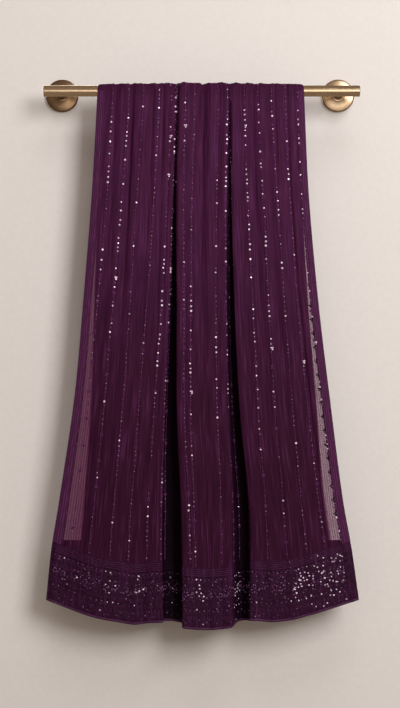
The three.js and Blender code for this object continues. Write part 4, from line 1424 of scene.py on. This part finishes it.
class SAREE_OT_wall_rod(bpy.types.Operator):
    """The brass rod, its two posts and its two roses"""

    bl_idname = "saree.wall_rod"
    bl_label = "Wall rod"

    def execute(self, context):
        _, colours = settings()
        rod = spun(rod_profile(), "rod")
        lying = Matrix.Rotation(math.pi / 2, 4, "Y")
        rod.transform(Matrix.Translation((ROD_SHIFT * MM, -ROD_TO_WALL * MM, 0)) @ lying)
        rod_metal = brass_finish("rod_brushed", colours, (25.0, 1500.0, 1500.0))
        finish_piece("rod_brass", rod, rod_metal, "brass", "rod")
        post_metal = brass_finish("post_brushed", colours, (1500.0, 30.0, 1500.0), rough=0.3, dulled_and_shaded=0.6)
        # The left rose gets more of the darker metal than the right: a darker reflection painted on the same
        # brass.
        for name, x, dulled_and_shaded in (("left", -POST_SPACING / 2, 1.0), ("right", POST_SPACING / 2, 0.4)):
            turned = (700.0, 700.0, 700.0)
            rose_metal = brass_finish(f"rose_{name}_turned", colours, turned, rough=0.24, dulled_and_shaded=dulled_and_shaded)
            place = Matrix.Translation((x * MM, 0, 0)) @ Matrix.Rotation(math.pi / 2, 4, "X")
            post = spun(post_profile(), "post")
            post.transform(place)
            finish_piece(f"post_{name}_brass", post, post_metal, "brass", f"post_{name}")
            rose = spun(rose_profile(), "rose")
            rose.transform(place)
            finish_piece(f"rose_{name}_brass", rose, rose_metal, "brass", f"rose_{name}")
        return {"FINISHED"}


def area_light(name, place, aim, size, energy, rgb):
    data = bpy.data.lights.new(name, "AREA")
    data.shape = "RECTANGLE"
    data.size, data.size_y = size
    data.energy = energy
    data.color = rgb
    light = bpy.data.objects.new(name, data)
    light.location = place
    light.rotation_euler = (Vector(aim) - Vector(place)).to_track_quat("-Z", "Y").to_euler()
    light.visible_camera = False
    bpy.context.scene.collection.objects.link(light)
    return light


def plain_sheet(name, side, place):
    """A flat square stage sheet of many cells."""
    bm = bmesh.new()
    spread = place @ Matrix.Diagonal((side, side, 1, 1))
    bmesh.ops.create_grid(bm, x_segments=8, y_segments=8, size=0.5, matrix=spread)
    sheet = bpy.data.objects.new(name, to_mesh(bm, name))
    bpy.context.scene.collection.objects.link(sheet)
    return sheet


def pale_finish(name, centre, solid_to, gone_at, one_sided):
    """Pale plaster that fades out round a centre. When one_sided, only the camera sees it, from its face."""
    f = Finish(name, roughness=0.85, specular_ior_level=0.2)
    place = f.object_place()
    linen = f.grain(place, 90.0, 90.0, 90.0, detail=3.0)
    f.feed("Base Color", f.blend(f.span(linen, 0.2, 0.8), colour(225, 220, 217), colour(228, 224, 221)))
    x, y, z = f.parts(place)
    across, along = f.minus(x, centre[0]), f.minus(z if one_sided else y, centre[1])
    reach = f.maths("SQRT", f.plus(f.times(across, across), f.times(along, along)))
    shown = f.span(reach, solid_to, gone_at, 1.0, 0.0)
    if one_sided:
        path = f.node("ShaderNodeLightPath", {}).outputs
        facing = f.minus(1.0, f.node("ShaderNodeNewGeometry", {}).outputs["Backfacing"])
        shown = f.times(shown, f.times(facing, path["Is Camera Ray"]))
    f.feed("Alpha", shown)
    return f.material


class SAREE_OT_stage(bpy.types.Operator):
    """The camera, the soft studio light, the pale wall and the pale floor"""

    bl_idname = "saree.stage"
    bl_label = "Stage"

    def execute(self, context):
        scene = context.scene
        scene.view_settings.view_transform = "Standard"
        world = bpy.data.worlds.new("studio")
        world.use_nodes = True
        sky = world.node_tree.nodes["Background"]
        sky.inputs["Color"].default_value = opaque(colour(240, 220, 201))
        seen = world.node_tree.nodes.new("ShaderNodeLightPath").outputs["Is Camera Ray"]
        glow = world.node_tree.nodes.new("ShaderNodeMath")
        glow.operation = "MULTIPLY_ADD"
        glow.inputs[1].default_value, glow.inputs[2].default_value = 0.5, 0.32
        world.node_tree.links.new(seen, glow.inputs[0])
        world.node_tree.links.new(glow.outputs[0], sky.inputs["Strength"])
        scene.world = world

        camera = bpy.data.objects.new("camera", bpy.data.cameras.new("camera"))
        camera.location = (0.0, -3.465, -0.571)
        camera.rotation_euler = (math.pi / 2, 0.0, 0.0)
        camera.data.lens = 79.6
        camera.data.sensor_width = 36.0
        scene.collection.objects.link(camera)
        scene.camera = camera

        middle, warm = (0.0, -0.07, -0.57), (1.0, 0.98, 0.96)
        rosy = (1.0, 0.975, 0.965)
        area_light("key", (2.14, -3.52, 1.32), middle, (1.8, 2.4), 152.0, rosy)
        top = area_light("top", (0.57, -2.74, 4.79), middle, (2.9, 1.8), 80.0, rosy)
        top.visible_glossy = False
        shine = area_light("shine", (0.6, -4.6, -0.4), (0.6, -0.07, -0.4), (2.6, 1.5), 30.0, warm)
        shine.visible_diffuse = False
        area_light("front", (0.0, -4.6, 0.75), middle, (6.0, 2.0), 10.0, (1.0, 0.98, 0.97))
        area_light("behind", (-1.2, 2.8, 0.8), middle, (2.0, 2.0), 60.0, warm)

        floor = plain_sheet("floor", 9.0, Matrix.Translation((0.0, -2.8, -1.75)))
        floor.data.materials.append(pale_finish("floor_pale", (0.0, -2.8), 3.4, 4.4, one_sided=False))
        floor.visible_diffuse = False
        floor.visible_glossy = False
        upright_sheet = Matrix.Rotation(math.pi / 2, 4, "X")
        wall = plain_sheet("wall", 4.0, Matrix.Translation((0.0, 0.002, middle[2])) @ upright_sheet)
        wall.data.materials.append(pale_finish("wall_pale", (0.0, middle[2]), 1.2, 1.9, one_sided=True))
        return {"FINISHED"}


OPERATORS = (
    SAREE_OT_front_cloth,
    SAREE_OT_back_cloth,
    SAREE_OT_inner_layers,
    SAREE_OT_edge_bands,
    SAREE_OT_border,
    SAREE_OT_piping,
    SAREE_OT_thread_lines,
    SAREE_OT_sequins,
    SAREE_OT_flowers,
    SAREE_OT_border_work,
    SAREE_OT_wall_rod,
    SAREE_OT_stage,
)


class SAREE_PT_panel(bpy.types.Panel):
    """Lists the saree's pieces, sizes and colours"""

    bl_idname = "SAREE_PT_panel"
    bl_label = "Saree"
    bl_space_type = "VIEW_3D"
    bl_region_type = "UI"
    bl_category = "Saree"

    def draw(self, context):
        for operator in OPERATORS:
            self.layout.operator(operator.bl_idname)
        for group in settings():
            box = self.layout.box()
            for name in group.__annotations__:
                box.prop(group, name)


CLASSES = (SareeSizes, SareeColours, *OPERATORS, SAREE_PT_panel)


def register():
    for cls in CLASSES:
        bpy.utils.register_class(cls)
    bpy.types.Scene.saree_sizes = bpy.props.PointerProperty(type=SareeSizes)
    bpy.types.Scene.saree_colours = bpy.props.PointerProperty(type=SareeColours)


def unregister():
    del bpy.types.Scene.saree_colours
    del bpy.types.Scene.saree_sizes
    for cls in reversed(CLASSES):
        bpy.utils.unregister_class(cls)


def main():
    register()
    for operator in OPERATORS:
        _, name = operator.bl_idname.split(".")
        getattr(bpy.ops.saree, name)()


if __name__ == "__main__":
    main()
